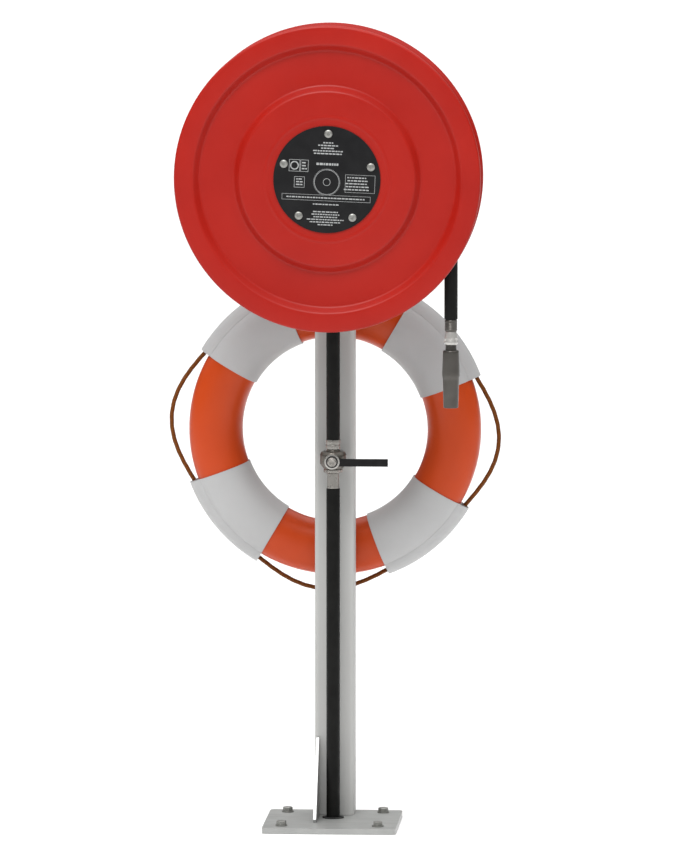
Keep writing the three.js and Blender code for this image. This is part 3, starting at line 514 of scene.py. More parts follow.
def dark_rubber():
    s = Surface("dark_trim_rubber", 0.7, 0.0)
    s.colours(s.noise(90, 4), srgb(22, 22, 22), srgb(34, 34, 34))
    return s.bump(s.noise(900, 2), 0.06 * MM, 0.5).material


def seat_plastic():
    s = Surface("white_seat_plastic", 0.4, 0.0)
    s.colours(s.noise(120, 3), srgb(226, 225, 218), srgb(238, 237, 231))
    return s.bump(s.noise(900, 2), 0.02 * MM, 0.3).material


def brass():
    s = Surface("cast_brass", 0.34, 1.0)
    s.colours(s.noise(90, 5), srgb(158, 128, 66), srgb(190, 160, 92))
    s.roughness(s.noise(200, 3), 0.28, 0.46)
    return s.bump(s.noise(600, 3), 0.08 * MM, 0.45).material


def nozzle_metal():
    s = Surface("anodised_nozzle_grey", 0.34, 0.6)
    s.colours(s.noise(30, 4), srgb(76, 73, 69), srgb(84, 81, 77))
    s.roughness(s.noise(90, 3), 0.3, 0.37)
    return s.bump(s.noise(900, 2, (1, 1, 8)), 0.015 * MM, 0.25).material


def buoy_orange():
    s = Surface("orange_polyethylene", 0.34, 0.0, Specular_IOR_Level=0.25)
    s.colours(s.noise(5, 4), srgb(181, 60, 12), srgb(188, 65, 16))
    s.roughness(s.noise(30, 4), 0.3, 0.42)
    s.bump(s.noise(260, 3), 0.08 * MM, 0.35)
    return s.bump(s.noise(7, 2), 1.2 * MM, 0.12).material


def band_fabric():
    s = Surface("grey_reflective_fabric", 0.6, 0.0, Sheen_Weight=0.15, Sheen_Roughness=0.4)
    s.colours(s.noise(5, 4), srgb(168, 168, 168), srgb(175, 175, 175))
    s.roughness(s.noise(70, 3), 0.5, 0.7)
    weave = s.multiplied(s.waves(420, "X"), s.waves(420, "Z"))
    s.bump(weave, 0.15 * MM, 0.35)
    return s.bump(s.noise(28, 3), 0.5 * MM, 0.2).material


def line_brown():
    s = Surface("brown_grab_line", 0.7, 0.0, Specular_IOR_Level=0.2)
    s.colours(s.noise(420, 5), srgb(88, 46, 8), srgb(120, 66, 14))
    s.bump(s.waves(900, "DIAGONAL", 1.5), 0.15 * MM, 0.5)
    return s.bump(s.noise(1800, 3), 0.1 * MM, 0.6).material


def floor_white():
    s = Surface("studio_floor", 0.9, 0.0)
    s.colours(s.noise(0.8, 3), srgb(249, 249, 249), srgb(252, 252, 252))
    return s.material


MATERIALS = {
    "stand_metal": stand_metal(),
    "plate_metal": plate_metal(),
    "gusset_metal": gusset_metal(),
    "bolt_steel": bolt_steel(),
    "red_paint": red_paint(),
    "label_black": label_black(),
    "label_print": label_print(),
    "hose_rubber": hose_rubber(),
    "wound_rubber": wound_rubber(),
    "valve_metal": valve_metal(),
    "bright_metal": bright_metal(),
    "swivel_metal": swivel_metal(),
    "ferrule_metal": ferrule_metal(),
    "lever_black": lever_black(),
    "dark_rubber": dark_rubber(),
    "seat_plastic": seat_plastic(),
    "brass": brass(),
    "nozzle_metal": nozzle_metal(),
    "buoy_orange": buoy_orange(),
    "band_grey": band_fabric(),
    "line_brown": line_brown(),
}


def dress(obj, material, body, slot, *nodes):
    """Gives a new piece its material and body, and hides the CAD nodes that it stands for. The slot argument
    is not used.
    """
    obj.data.materials.clear()
    obj.data.materials.append(MATERIALS[material])
    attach(obj, body)
    if nodes:
        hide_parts(*nodes)
    return obj


def dress_node(node, material, angle=32):
    """A CAD node that stays, with a better material and its round faces shaded smooth."""
    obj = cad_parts[node]
    obj.data.materials.clear()
    obj.data.materials.append(MATERIALS[material])
    for face in obj.data.polygons:
        face.use_smooth = True
    obj.data.set_sharp_from_angle(angle=math.radians(angle))


# ---------------------------------------------------------------- camera and cords

def make_camera():
    azimuth = math.radians(CAMERA_AZIMUTH)
    elevation = math.radians(CAMERA_ELEVATION)
    level = math.cos(elevation)
    away = Vector((math.sin(azimuth) * level, -math.cos(azimuth) * level, math.sin(elevation)))
    data = bpy.data.cameras.new("camera")
    data.lens = CAMERA_LENS
    data.clip_end = 200
    camera = bpy.data.objects.new("camera", data)
    camera.location = CAMERA_TARGET + away * CAMERA_DISTANCE
    camera.rotation_euler = (-away).to_track_quat("-Z", "Y").to_euler()
    bpy.context.scene.collection.objects.link(camera)
    bpy.context.scene.camera = camera


def curve_piece(name, points, diameter):
    data = bpy.data.curves.new(name, "CURVE")
    data.dimensions = "3D"
    data.bevel_depth = diameter / 2
    data.bevel_resolution = 6
    data.use_fill_caps = True
    spline = data.splines.new("POLY")
    spline.points.add(len(points) - 1)
    for target, point in zip(spline.points, points):
        target.co = (*point, 1)
    spline.use_smooth = True
    obj = bpy.data.objects.new(name, data)
    bpy.context.scene.collection.objects.link(obj)
    return obj


def outer_turn():
    return radius_of("hose_winding") - HOSE_D / 2


def hose_cut():
    """Height where the hanging hose is clear of every turn, so the reel can turn beside it."""
    clear = outer_turn() + HOSE_D + TURN_CLEAR
    return centre_of("hose_winding").z - math.sqrt(clear**2 - outer_turn() ** 2)


def winding_route():
    """Layers of turns from the core outwards, then straight down at the right as far as the cut."""
    low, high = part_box("hose_winding")
    centre = (low + high) / 2
    outer = outer_turn()
    inner = outer - LAYER_STEP * (LAYERS - 1)
    front = low.y + HOSE_D / 2
    rear = high.y - HOSE_D / 2
    leaves = centre_of("hose_tail").y
    turns = LAYER_TURNS * (LAYERS - 1) + LAST_TURNS
    points = []
    count = round(turns * POINTS_PER_TURN)
    for i in range(count + 1):
        turn = turns * i / count
        layer = min(int(turn / LAYER_TURNS), LAYERS - 1)
        within = turn - layer * LAYER_TURNS
        if layer == LAYERS - 1:
            y = rear + (leaves - rear) * within / LAST_TURNS
            climb = 0
        else:
            across = min(within / (LAYER_TURNS - 1), 1.0)
            y = front + (rear - front) * (across if layer % 2 == 0 else 1 - across)
            climb = max(0.0, within - (LAYER_TURNS - 1))
        r = inner + LAYER_STEP * (layer + climb)
        angle = TAU * (turns - turn)
        points.append(Vector((centre.x + r * math.cos(angle), y, centre.z + r * math.sin(angle))))
    last = points[-1]
    for k in range(1, 7):
        points.append(Vector((last.x, leaves, last.z + (hose_cut() - last.z) * k / 6)))
    return points


def make_hose():
    route = winding_route()
    winding = curve_piece("wound_hose", route, HOSE_D)
    dress(winding, "wound_rubber", "reel", "hose_rubber", "hose_winding")
    top = hose_cut() - CUT
    ferrule_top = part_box("hose_tail")[0].z
    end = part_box("nozzle_swivel_nut")[0].z + SQUEEZED_HOSE_REACH
    steps = 60
    drop = [on_plan("hose_tail", top + (end - top) * k / steps) for k in range(steps + 1)]

    def squeezed_in_ferrule(length, angle):
        return HOSE_D / 2 if top - length > ferrule_top else SQUEEZED_HOSE_R

    tail = swept("hanging_hose", drop, squeezed_in_ferrule, 48, 40)
    dress(tail, "hose_rubber", "stand", "hose_rubber", "hose_tail")
    pieces = make_nozzle()


def line_route(i):
    ring = centre_of("buoy_ring")
    start = BAND_FIRST + 90 * i + BAND_SPAN / 2
    sweep = 90 - BAND_SPAN
    steps = 60
    points = []
    for k in range(steps + 1):
        t = k / steps
        angle = math.radians(start + sweep * t)
        wave = math.sin(math.pi * t)
        r = LINE_SEAT_R + LINE_BULGES[i] * (0.6 * wave + 0.4 * wave**2)
        points.append(ring + Vector((r * math.cos(angle), 0, r * math.sin(angle))))
    return points


def make_grab_lines():
    """Three-strand line between the bands."""
    for i in range(BAND_COUNT):
        route = line_route(i)
        fine = []
        for a, b in zip(route, route[1:]):
            fine.append(a)
            fine.append((a + b) / 2)
        fine.append(route[-1])

        def strands(length, angle):
            return LINE_D / 2 * (0.96 + 0.04 * math.cos(3 * angle + TAU * length / (26 * MM)))

        line = swept(f"grab_rope_{i + 1}", fine, strands, 24)
        dress(line, "line_brown", "lifebuoy", "line_brown", f"grab_line_{i + 1}")


# ---------------------------------------------------------------- nozzle

def make_nozzle():
    pieces = []
    low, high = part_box("tail_ferrule")
    centre = (low + high) / 2
    half = (high.z - low.z) / 2
    r = (high.x - low.x) / 2
    profile = [(10 * MM, half), (r * 0.86, half), (r, half * 0.78)]
    for k in range(5):
        z = half * (0.55 - 0.24 * k)
        profile += [(r, z), (r - 0.7 * MM, z - 1.1 * MM), (r, z - 2.2 * MM)]
    profile += [(r * 0.99, -half * 0.72), (r * 0.88, -half), (10 * MM, -half)]
    ferrule = turned("crimped_ferrule", profile, centre, segments=64, closed=True)
    pieces.append(dress(ferrule, "nozzle_metal", "stand", "nozzle_metal", "tail_ferrule"))

    low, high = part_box("nozzle_swivel_nut")
    centre = (low + high) / 2
    half = (high.z - low.z) / 2
    r = (high.x - low.x) / 2
    flare = [(SWIVEL_BORE_R, half), (r * 0.76, half), (r * 0.8, half * 0.7), (r * 0.93, -half * 0.2)]
    flare += [(r, -half * 0.55), (r, -half * 0.72), (r * 0.84, -half), (SWIVEL_BORE_R, -half)]
    flare += [(SWIVEL_BORE_R, -half * 0.9)]
    flare = filleted(flare, 0.8 * MM, closed=True)
    shell = turned("swivel_shell", flare, centre, segments=64, closed=True)
    flats = 2 * r * 0.9
    corner = math.radians(30)
    hexagon = hex_solid("swivel_hex", centre, -half * 0.5, half * 0.1, flats, 1.5 * MM, corner)
    swivel = bevelled(merged("swivel_nut", [shell, hexagon]), 0.25 * MM)
    pieces.append(dress(swivel, "swivel_metal", "stand", "bright_metal", "nozzle_swivel_nut"))

    sleeve_low, sleeve_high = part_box("nozzle_sleeve")
    low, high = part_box("nozzle_body")
    swivel_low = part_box("nozzle_swivel_nut")[0].z
    centre = on_plan("nozzle_body", 0)
    r = (high.x - low.x) / 2
    threads = int((swivel_low - sleeve_high.z) / THREAD_PITCH)
    profile = [(0, swivel_low), (r * 0.9, swivel_low)]
    for k in range(threads):
        z = swivel_low - (k + 0.3) * THREAD_PITCH
        profile += [(r, z), (r, z - 0.7 * MM), (r * 0.9, z - 1.2 * MM), (r * 0.9, z - 1.7 * MM)]
    profile += [(r * 0.9, sleeve_high.z), (STEM_SEAT_R, sleeve_high.z), (STEM_SEAT_R, low.z)]
    profile += [(JET_R, low.z), (JET_R, low.z + 12 * MM), (0, low.z + 12 * MM)]
    body = turned("nozzle_stem", profile, centre, segments=64)
    pieces.append(dress(body, "nozzle_metal", "stand", "nozzle_metal", "nozzle_body"))

    top = sleeve_high.z
    height = top - sleeve_low.z
    profile = [
        (SLEEVE_BORE_R, top),
        (15.4 * MM, top),
        (16.4 * MM, top - 0.03 * height),
        (17.9 * MM, top - 0.38 * height),
        (17.9 * MM, top - 0.44 * height),
        (16.5 * MM, top - 0.50 * height),
        (15.0 * MM, sleeve_low.z + 0.03 * height),
        (14.7 * MM, sleeve_low.z),
        (12.2 * MM, sleeve_low.z),
        (11.6 * MM, sleeve_low.z + 12 * MM),
        (SLEEVE_BORE_R, sleeve_low.z + 16 * MM),
    ]
    rounded = filleted(profile, 1.6 * MM, 5, closed=True)
    sleeve = turned("twist_sleeve", rounded, centre, segments=80, closed=True)
    pieces.append(dress(sleeve, "nozzle_metal", "nozzle_grip", "nozzle_metal", "nozzle_sleeve"))
    return pieces


# ---------------------------------------------------------------- reel

def pressed_profile(bore, edge):
    """A disc's face as (radius, depth behind the rim): raised middle with a bead, trough, rim."""
    corners = [(bore, 0), (120 * MM, 0), (123 * MM, -0.7 * MM), (126 * MM, -0.7 * MM), (129 * MM, 0)]
    corners += [(176 * MM, 0), (188 * MM, TROUGH), (258 * MM, TROUGH), (270 * MM, 0), (edge, 0)]
    return filleted(corners, 3.5 * MM, 5)


def pressed_disc(name, node, facing, bore):
    """A pressed sheet disc with a rolled rim. facing is -1 where the outer face looks to the front."""
    low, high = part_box(node)
    centre = (low + high) / 2
    face = (low.y if facing < 0 else high.y) - centre.y
    rim = (high.x - low.x) / 2
    lip_r = rim - (0 if facing < 0 else REAR_TURN_IN)
    reach = FRONT_LIP if facing < 0 else REAR_LIP

    def inwards(depth):
        return face - facing * depth

    outside = [(r, inwards(depth)) for r, depth in pressed_profile(bore, rim - DISC_ROLL)]
    for k in range(1, 7):
        angle = math.pi / 2 * k / 6
        r = rim - DISC_ROLL + DISC_ROLL * math.sin(angle)
        outside.append((r, inwards(DISC_ROLL * (1 - math.cos(angle)))))
    lip = [(lip_r, inwards(reach)), (lip_r - 1.2 * MM, inwards(reach + MM))]
    lip.append((lip_r - DISC_SHEET, inwards(reach)))
    inside = [(rim - 4 * MM, inwards(5 * MM)), (rim - 7 * MM, inwards(DISC_SHEET))]
    for r, depth in reversed(pressed_profile(bore, rim - 8 * MM)):
        inside.append((r, inwards(depth + DISC_SHEET)))
    profile = outside + lip + inside
    return turned(name, profile, centre, "Y", DISC_SEGMENTS, closed=True, smooth_angle=50)


def make_discs():
    front = pressed_disc("reel_front_disc", "front_disc", -1, FRONT_DISC_BORE)
    dress(front, "red_paint", "reel", "red_paint", "front_disc")
    rear = pressed_disc("reel_rear_disc", "rear_disc", 1, REAR_DISC_BORE)
    dress(rear, "red_paint", "reel", "red_paint", "rear_disc")


def print_quad(bm, x0, x1, z0, z1):
    corners = [(x0, z0), (x1, z0), (x1, z1), (x0, z1)]
    bm.faces.new([bm.verts.new((x, 0, z)) for x, z in corners])


def print_frame(bm, x, z, width, height, line):
    left, right = x - width / 2, x + width / 2
    bottom, top = z - height / 2, z + height / 2
    print_quad(bm, left, right, top - line, top)
    print_quad(bm, left, right, bottom, bottom + line)
    print_quad(bm, left, left + line, bottom + line, top - line)
    print_quad(bm, right - line, right, bottom + line, top - line)


def print_ring(bm, x, z, radius, line, segments=64):
    inner, outer = [], []
    for k in range(segments):
        c, s = math.cos(TAU * k / segments), math.sin(TAU * k / segments)
        inner.append(bm.verts.new((x + radius * c, 0, z + radius * s)))
        outer.append(bm.verts.new((x + (radius + line) * c, 0, z + (radius + line) * s)))
    for k in range(segments):
        n = (k + 1) % segments
        bm.faces.new([inner[k], outer[k], outer[n], inner[n]])


def print_row(bm, rng, x, z, width, height):
    """A row of plain dashes, as filler for a printed line."""
    at = x - width / 2
    end = x + width / 2
    while at < end - 1.5 * MM:
        dash = min(rng.uniform(3, 8) * MM, end - at)
        print_quad(bm, at, at + dash, z - height / 2, z + height / 2)
        at += dash + 1.4 * MM


def make_label():
    low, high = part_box("label_plate")
    centre = (low + high) / 2
    half = (high.y - low.y) / 2
    r = (high.x - low.x) / 2
    profile = filleted([(0, -half), (r, -half), (r, half), (0, half)], 0.7 * MM)
    plate = turned("label_disc", profile, centre, "Y", 128)
    dress(plate, "label_black", "reel", "label_black", "label_plate")
    rng = random.Random(7)
    bm = bmesh.new()
    print_ring(bm, 0, -5 * MM, 24.4 * MM, 0.9 * MM)
    print_ring(bm, 0, -5 * MM, 26.4 * MM, 0.4 * MM)
    print_ring(bm, 0, -5 * MM, 6.6 * MM, 0.9 * MM, 24)
    print_frame(bm, 0, -37 * MM, 178 * MM, 12 * MM, 0.6 * MM)
    print_row(bm, rng, 0, -37 * MM, 160 * MM, 2.4 * MM)
    print_row(bm, rng, 0, -50 * MM, 52 * MM, 2.2 * MM)
    print_frame(bm, 67 * MM, -6 * MM, 60 * MM, 36 * MM, 0.6 * MM)
    for k in range(5):
        print_row(bm, rng, (60 + 2 * (k % 2)) * MM, (6 - 6 * k) * MM, (38 + 3 * k) * MM, 2.4 * MM)
    print_frame(bm, -66 * MM, 26 * MM, 22 * MM, 24 * MM, 0.8 * MM)
    print_ring(bm, -66 * MM, 26 * MM, 6.5 * MM, 2.2 * MM, 32)
    print_frame(bm, -46 * MM, 26 * MM, 16 * MM, 24 * MM, 0.8 * MM)
    for k in range(3):
        print_row(bm, rng, -46 * MM, (32 - 6 * k) * MM, 10 * MM, 2.6 * MM)
    print_frame(bm, -55 * MM, -7 * MM, 21 * MM, 22 * MM, 0.7 * MM)
    for k in range(3):
        print_row(bm, rng, -55 * MM, (-1 - 5.5 * k) * MM, 13 * MM, 2.4 * MM)
    print_row(bm, rng, 0, 31 * MM, 44 * MM, 4.5 * MM)
    for k, width in enumerate((20, 40, 28, 60, 56)):
        print_row(bm, rng, 0, (74 - 5.5 * k) * MM, width * MM, 2.4 * MM)
    for k, width in enumerate((50, 56, 48, 74, 62, 30)):
        print_row(bm, rng, 0, (-65 - 5.2 * k) * MM, width * MM, 2.2 * MM)
    mesh = bpy.data.meshes.new("label_marks")
    bm.to_mesh(mesh)
    bm.free()
    marks = bpy.data.objects.new("label_marks", mesh)
    front = Vector((centre.x, low.y - 0.12 * MM, centre.z))
    mesh.transform(Matrix.Translation(front) @ Matrix.Rotation(-PRINT_TILT, 4, "Y"))
    bpy.context.scene.collection.objects.link(marks)
    dress(marks, "label_print", "reel", "label_black")


def make_label_screws():
    for i in range(1, 6):
        node = f"label_screw_{i}"
        low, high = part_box(node)
        centre = Vector(((low.x + high.x) / 2, low.y, (low.z + high.z) / 2))
        r = 8 * MM
        depth = high.y - low.y
        head = [(0, 1.9 * MM), (2.6 * MM, 1.7 * MM), (2.8 * MM, 0.1 * MM), (r * 0.55, 0)]
        head += [(r * 0.82, 0.6 * MM), (r, 2.0 * MM), (r, 3.2 * MM), (3 * MM, 3.2 * MM)]
        head += [(3 * MM, depth), (0, depth)]
        screw = turned(f"label_button_{i}", head, centre, "Y", 40)
        dress(screw, "bolt_steel", "reel", "bolt_steel", node)


# ---------------------------------------------------------------- supply line and valve

def make_supply_hoses():
    for node in ("supply_hose_lower", "supply_hose_upper"):
        low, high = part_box(node)
        profile = [(SUPPLY_BORE_R, low.z), (SUPPLY_R, low.z), (SUPPLY_R, high.z), (SUPPLY_BORE_R, high.z)]
        profile = filleted(profile, 1.2 * MM, closed=True)
        hose = turned(f"{node}_tube", profile, on_plan(node, 0), closed=True)
        dress(hose, "hose_rubber", "stand", "hose_rubber", node)
    low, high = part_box("hose_grommet")
    lip_r = radius_of("hose_grommet")
    lip_z = high.z - GROMMET_LIP_T
    profile = [(GROMMET_SEAT_R, low.z), (GROMMET_HOLE_R, low.z), (GROMMET_HOLE_R, lip_z)]
    profile += [(lip_r, lip_z), (lip_r, high.z), (GROMMET_SEAT_R, high.z)]
    profile = filleted(profile, 0.8 * MM, closed=True)
    grommet = turned("hose_hole_grommet", profile, on_plan("hose_grommet", 0), closed=True)
    dress(grommet, "dark_rubber", "stand", "hose_rubber", "hose_grommet")


def crimp_sleeve(name, node, grooves):
    """A sleeve pressed on the hose, with shallow grooves round it."""
    low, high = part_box(node)
    height = high.z - low.z
    r = radius_of(node)
    floor_r = r - 0.7 * MM
    profile = [(SLEEVE_SEAT_R, 0), (r, 0)]
    for k in range(grooves):
        z = height * (k + 0.7) / (grooves + 0.4)
        profile += [(r, z - 1.6 * MM), (floor_r, z - 0.6 * MM), (floor_r, z + 0.6 * MM), (r, z + 1.6 * MM)]
    profile += [(r, height), (SLEEVE_SEAT_R, height)]
    profile = filleted(profile, 0.5 * MM, closed=True)
    sleeve = turned(name, profile, on_plan(node, low.z), closed=True)
    dress(sleeve, "ferrule_metal", "stand", "valve_metal", node)


def make_valve():
    low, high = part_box("valve_body")
    hose = centre_of("supply_hose_lower")
    stem = centre_of("valve_stem")
    axis = Vector((hose.x, hose.y, stem.z))
    r = (high.x - low.x) / 2
    half = BARREL_HALF
    shell = [(0, -half), (r * 0.68, -half), (r, -half * 0.42), (r, half * 0.62)]
    shell += [(r * 0.86, half), (0, half)]
    barrel = turned("valve_barrel", filleted(shell, 2 * MM, 4), axis, segments=96)
    top = high.z - axis.z
    neck = [(0, half * 0.8), (15.5 * MM, half * 0.8), (14.6 * MM, half + 1.5 * MM)]
    neck += [(12.6 * MM, top), (0, top)]
    collar = turned("valve_neck", filleted(neck, 1.2 * MM), axis)
    reach = axis.y - low.y
    boss = [(0, 0), (14 * MM, 0), (14 * MM, -reach * 0.72), (13 * MM, -reach), (0, -reach)]
    nose = turned("valve_boss", filleted(boss, 1.2 * MM), axis, "Y")
    body = merged("valve_casting", [barrel, collar, nose])
    dress(bevelled(body, 0.4 * MM), "valve_metal", "stand", "valve_metal", "valve_body")

    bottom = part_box("valve_end_fitting")[0].z - axis.z
    hexagon = hex_solid("end_hex", axis, -half - 7.5 * MM, -half - 0.4 * MM, 34 * MM, 1.2 * MM)
    lip_r = TAIL_NIPPLE_R + 0.5 * MM
    nipple = [(0, -half - 7 * MM), (TAIL_NIPPLE_R - 1 * MM, -half - 7 * MM), (TAIL_NIPPLE_R, -half - 9 * MM)]
    nipple += [(TAIL_NIPPLE_R, bottom + 4 * MM), (lip_r, bottom + 3 * MM), (lip_r, bottom), (0, bottom)]
    barb = turned("end_nipple", filleted(nipple, 0.6 * MM), axis)
    end = merged("valve_tailpiece", [hexagon, barb])
    dress(bevelled(end, 0.3 * MM), "ferrule_metal", "stand", "valve_metal", "valve_end_fitting")


def make_lever():
    low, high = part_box("valve_lever")
    stem = centre_of("valve_stem")
    middle = stem.z - LEVER_DROP
    outline = arc(stem.x, stem.z, LEVER_EYE_R, 45, 315, 24)
    outline.append((stem.x + LEVER_NECK, middle - LEVER_HALF_H))
    end = high.x - LEVER_CORNER_R
    corner = LEVER_HALF_H - LEVER_CORNER_R
    outline += arc(end, middle - corner, LEVER_CORNER_R, -90, 0, 6)
    outline += arc(end, middle + corner, LEVER_CORNER_R, 0, 90, 6)
    outline.append((stem.x + LEVER_NECK, middle + LEVER_HALF_H))
    lever = slab("lever_bar", outline, low.y, high.y)
    dress(bevelled(lever, 0.6 * MM, 3), "lever_black", "valve_handle", "lever_black", "valve_lever")

    rings = [
        ("lever_washer", "stem_washer", "bright_metal", "bright_metal", 0.5),
        ("lever_spacer", "stem_spacer", "dark_rubber", "lever_black", 0.4),
    ]
    for node, name, material, slot, edge in rings:
        low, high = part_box(node)
        centre = Vector((stem.x, low.y, stem.z))
        r = (high.x - low.x) / 2
        depth = high.y - low.y
        profile = [(STEM_HOLE_R, 0), (r, 0), (r, depth), (STEM_HOLE_R, depth)]
        ring = turned(name, filleted(profile, edge * MM, closed=True), centre, "Y", closed=True)
        dress(ring, material, "valve_handle", slot, node)
    low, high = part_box("lever_nut")
    centre = Vector((stem.x, low.y, stem.z))
    r = (high.x - low.x) / 2
    depth = high.y - low.y
    profile = [(0, 1.0 * MM), (3.2 * MM, 1.0 * MM), (4.0 * MM, 0.2 * MM), (r * 0.72, 0), (r, 2.0 * MM)]
    profile += [(r, depth), (0, depth)]
    nut = turned("stem_nut", filleted(profile, 0.5 * MM), centre, "Y")
    dress(nut, "ferrule_metal", "valve_handle", "bright_metal", "lever_nut")


def make_elbow():
    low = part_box("inlet_elbow")[0]
    hose = centre_of("supply_hose_upper")
    reel = centre_of("axle")
    bend = ELBOW_BEND_R
    route = [Vector((reel.x, low.y, reel.z)), Vector((reel.x, low.y + 4 * MM, reel.z))]
    for y, z in arc(hose.y - bend, reel.z - bend, bend, 90, 0, 12):
        route.append(Vector((reel.x, y, z)))
    route.append(Vector((hose.x, hose.y, low.z)))
    pipe = swept("elbow_pipe", route, lambda length, angle: ELBOW_R, 40)
    start = Vector((reel.x, low.y, reel.z))
    flange = [(0, 0), (22 * MM, 0), (22 * MM, 4 * MM), (17 * MM, 6 * MM), (0, 6 * MM)]
    face = turned("elbow_flange", filleted(flange, 0.8 * MM), start, "Y")
    end = Vector((hose.x, hose.y, low.z))
    collar = [(0, 0), (16 * MM, 0), (16 * MM, 9 * MM), (15 * MM, 11 * MM), (0, 11 * MM)]
    mouth = turned("elbow_mouth", filleted(collar, 0.8 * MM), end)
    elbow = merged("brass_elbow", [pipe, face, mouth])
    dress(elbow, "brass", "stand", "brass", "inlet_elbow")


def make_axle():
    low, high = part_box("axle")
    centre = centre_of("axle")
    front = low.y - centre.y
    rear = high.y - centre.y
    flange_r = (high.x - low.x) / 2
    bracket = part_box("reel_bracket")[0].y - centre.y
    r = AXLE_R
    profile = [(0, front), (r - 1.5 * MM, front), (r, front + 1.5 * MM), (r, bracket - 6.3 * MM)]
    profile += [(flange_r, bracket - 6.3 * MM), (flange_r, bracket - 0.3 * MM), (r, bracket - 0.3 * MM)]
    profile += [(r, rear), (10 * MM, rear), (10 * MM, rear - 20 * MM), (0, rear - 20 * MM)]
    axle = turned("reel_axle", filleted(profile, 0.5 * MM), centre, "Y")
    dress(axle, "bright_metal", "stand", "bright_metal", "axle")


# ---------------------------------------------------------------- base

def make_post():
    low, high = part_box("post")
    half = (high.x - low.x) / 2
    middle = (low + high) / 2
    bm = bmesh.new()
    loops = []
    for inset in (0, POST_WALL):
        outline = rounded_square(half - inset, POST_CORNER_R - inset)
        ends = []
        for z in (low.z, high.z):
            ends.append([bm.verts.new((middle.x + x, middle.y + y, z)) for x, y in outline])
        for k in range(len(outline)):
            n = (k + 1) % len(outline)
            bm.faces.new([ends[0][k], ends[0][n], ends[1][n], ends[1][k]])
        loops.append(ends)
    for outer, inner in zip(loops[0], loops[1]):
        for k in range(len(outer)):
            n = (k + 1) % len(outer)
            bm.faces.new([outer[k], outer[n], inner[n], inner[k]])
    tube = new_object("stand_post", bm, 40)
    dress(bevelled(tube, 0.4 * MM), "stand_metal", "stand", "stand_metal", "post")


def rounded_square(half, radius, steps=10):
    points = []
    for corner in range(4):
        angle = math.radians(45 + 90 * corner)
        cx = math.copysign(half - radius, math.cos(angle))
        cy = math.copysign(half - radius, math.sin(angle))
        for k in range(steps + 1):
            turn = angle + math.radians(-45 + 90 * k / steps)
            points.append((cx + radius * math.cos(turn), cy + radius * math.sin(turn)))
    return points


def make_anchor_bolts():
    for i in range(1, 5):
        node = f"anchor_bolt_{i}"
        low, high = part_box(node)
        centre = on_plan(node, 0)
        washer_r = radius_of(node)
        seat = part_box("base_plate")[1].z + SEAT_GAP
        washer = [(0, seat), (washer_r, seat), (washer_r, seat + WASHER_T), (0, seat + WASHER_T)]
        ring = turned("fixing_washer", filleted(washer, 0.5 * MM), centre)
        turn = math.radians(17 * i)
        head = hex_solid("fixing_head", centre, seat + 2 * MM, high.z, 18 * MM, 1.1 * MM, turn)
        shank = turned("fixing_shank", [(0, low.z), (6 * MM, low.z), (6 * MM, seat), (0, seat)], centre)
        fixing = merged(f"anchor_fixing_{i}", [ring, head, shank])
        dress(bevelled(fixing, 0.3 * MM), "bolt_steel", "stand", "bolt_steel", node)


def dress_cad_nodes():
    dress_node("base_plate", "plate_metal", 50)
    dress_node("base_gusset", "gusset_metal")
    dress_node("post_cap", "lever_black")
    dress_node("reel_bracket", "stand_metal")
    dress_node("buoy_hook", "stand_metal")
    dress_node("drum_core", "red_paint")
    dress_node("reel_hub", "bright_metal")
    dress_node("axle_nut", "bright_metal")
    dress_node("gland_nut", "valve_metal")
    dress_node("valve_ball", "bright_metal")
    dress_node("valve_stem", "bright_metal")
    for node in ("valve_seat_upper", "valve_seat_lower"):
        dress_node(node, "seat_plastic")
    for node in ("front_bush", "rear_bush"):
        dress_node(node, "brass")
    for node in ("bracket_bolt_1", "bracket_bolt_2", "hook_bolt_1", "hook_bolt_2"):
        dress_node(node, "bolt_steel")


# ---------------------------------------------------------------- lifebuoy

def buoy_section(grow, steps):
    """Points round the ring's rounded section: (distance from the ring's axis, depth)."""
    middle = radius_of("buoy_ring") - BUOY_WIDTH / 2
    half_w = BUOY_WIDTH / 2 + grow
    half_d = BUOY_HALF_DEPTH + grow
    points = []
    for k in range(steps):
        c, s = math.cos(TAU * k / steps), math.sin(TAU * k / steps)
        u = math.copysign(abs(c) ** BUOY_SQUARENESS, c) * half_w
        v = math.copysign(abs(s) ** BUOY_SQUARENESS, s) * half_d
        points.append((middle + u, v))
    return points


def make_ring():
    centre = centre_of("buoy_ring")
    section = []
    for r, y in buoy_section(0, BUOY_STEPS):
        seam = SEAM_DEPTH * math.exp(-((y / SEAM_HALF_WIDTH) ** 2))
        section.append((r - math.copysign(seam, r - BUOY_MIDDLE_R), y))
    ring = turned("buoy_shell", section, centre, "Y", 192, closed=True, smooth_angle=60)
    dress(ring, "buoy_orange", "lifebuoy", "buoy_orange", "buoy_ring")


def arc_tube(name, outer, inner, start, end, steps):
    """A hollow sleeve round the ring's axis between two angles, from two matching section loops."""
    centre = centre_of("buoy_ring")
    bm = bmesh.new()
    shells = []
    for loop in (outer, inner):
        rings = []
        for k in range(steps + 1):
            angle = math.radians(start + (end - start) * k / steps)
            ring = []
            for r, y in loop:
                ring.append(bm.verts.new(on_axis(centre, "Y", r, angle, y)))
            rings.append(ring)
        for a, b in zip(rings, rings[1:]):
            for i in range(len(a)):
                n = (i + 1) % len(a)
                bm.faces.new([a[i], a[n], b[n], b[i]])
        shells.append((rings[0], rings[-1]))
    for a, b in zip(shells[0], shells[1]):
        for i in range(len(a)):
            n = (i + 1) % len(a)
            bm.faces.new([a[i], a[n], b[n], b[i]])
    return new_object(name, bm, 50)


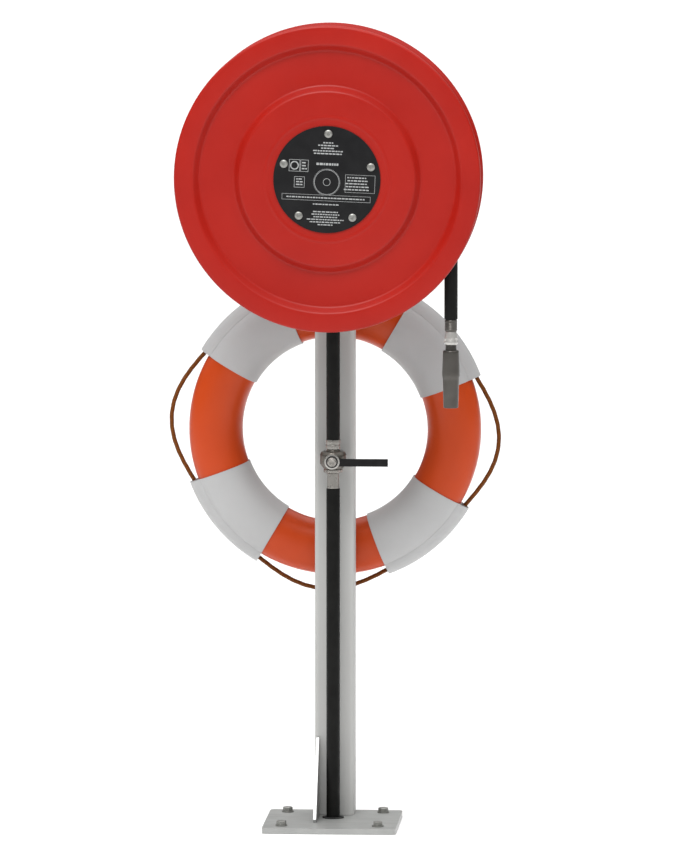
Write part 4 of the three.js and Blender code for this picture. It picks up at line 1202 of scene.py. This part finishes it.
def hem_loop(shrink, steps=24):
    points = []
    for k in range(steps):
        angle = TAU * k / steps
        across = (HEM_HALF_WIDTH - shrink) * math.cos(angle)
        points.append((HEM_CENTRE_R + across, (HEM_HALF_DEPTH - shrink) * math.sin(angle)))
    return points


def hem_flap(side):
    """Section of the cloth from the ring's shoulder out to the hem, as outer and inner loops."""
    rows = [(295.5, 30.8), (303, 27.5), (310, 22), (315.5, 13), (317.8, 5)]
    back = [(r - 1.3, y - 1.9) for r, y in reversed(rows)]
    outer = [(r * MM, side * y * MM) for r, y in rows + back]
    middle_r = sum(r for r, _ in outer) / len(outer)
    middle_y = sum(y for _, y in outer) / len(outer)
    inner = []
    for r, y in outer:
        inner.append((r + (middle_r - r) * 0.02, y + (middle_y - y) * 0.02))
    return outer, inner


def make_bands():
    for i in range(BAND_COUNT):
        middle = BAND_FIRST + 90 * i
        start, end = middle - BAND_SPAN / 2, middle + BAND_SPAN / 2
        span = (start, end, BAND_STEPS)
        sleeve = arc_tube(
            "band_sleeve", buoy_section(BAND_T, BUOY_STEPS), buoy_section(BAND_CLEAR, BUOY_STEPS), *span
        )
        hem = arc_tube("band_hem", hem_loop(0), hem_loop(HEM_SHEET), *span)
        flaps = [arc_tube("band_flap", *hem_flap(side), *span) for side in (-1, 1)]
        band = merged(f"buoy_sleeve_{i + 1}", [sleeve, hem, *flaps], 50)
        bevelled(band, 0.5 * MM, 2, 60)
        dress(band, "band_grey", "lifebuoy", "band_grey", f"buoy_band_{i + 1}")


# ---------------------------------------------------------------- studio

def area_light(name, location, target, size, power):
    data = bpy.data.lights.new(name, "AREA")
    data.shape = "RECTANGLE"
    data.size, data.size_y = size
    data.energy = power
    light = bpy.data.objects.new(name, data)
    light.location = location
    light.rotation_euler = (Vector(target) - Vector(location)).to_track_quat("-Z", "Y").to_euler()
    bpy.context.scene.collection.objects.link(light)


def make_studio():
    bm = bmesh.new()
    bmesh.ops.create_grid(bm, x_segments=8, y_segments=8, size=FLOOR_HALF)
    floor = new_object("floor", bm)
    floor.data.materials.append(floor_white())
    world = bpy.data.worlds.new("studio")
    world.use_nodes = True
    nodes = world.node_tree.nodes
    links = world.node_tree.links
    direction = nodes.new("ShaderNodeTexCoord")
    split = nodes.new("ShaderNodeSeparateXYZ")
    dome = nodes.new("ShaderNodeValToRGB")
    dome.color_ramp.elements[0].position = 0.25
    dome.color_ramp.elements[0].color = (*[WORLD_SIDES] * 3, 1)
    dome.color_ramp.elements[1].position = 0.9
    dome.color_ramp.elements[1].color = (1, 1, 1, 1)
    links.new(direction.outputs["Generated"], split.inputs["Vector"])
    links.new(split.outputs["Z"], dome.inputs["Fac"])
    links.new(dome.outputs["Color"], nodes["Background"].inputs["Color"])
    nodes["Background"].inputs["Strength"].default_value = WORLD_STRENGTH
    bpy.context.scene.world = world
    area_light("key", KEY_PLACE, KEY_AIM, KEY_SIZE, KEY_WATTS)
    bpy.context.scene.view_settings.view_transform = "Standard"


make_camera()
make_hose()
make_grab_lines()
make_discs()
make_label()
make_label_screws()
make_supply_hoses()
crimp_sleeve("valve_crimp", "valve_ferrule", 1)
crimp_sleeve("elbow_crimp", "elbow_ferrule", 3)
make_valve()
make_lever()
make_elbow()
make_axle()
make_post()
make_anchor_bolts()
dress_cad_nodes()
make_ring()
make_bands()
make_studio()
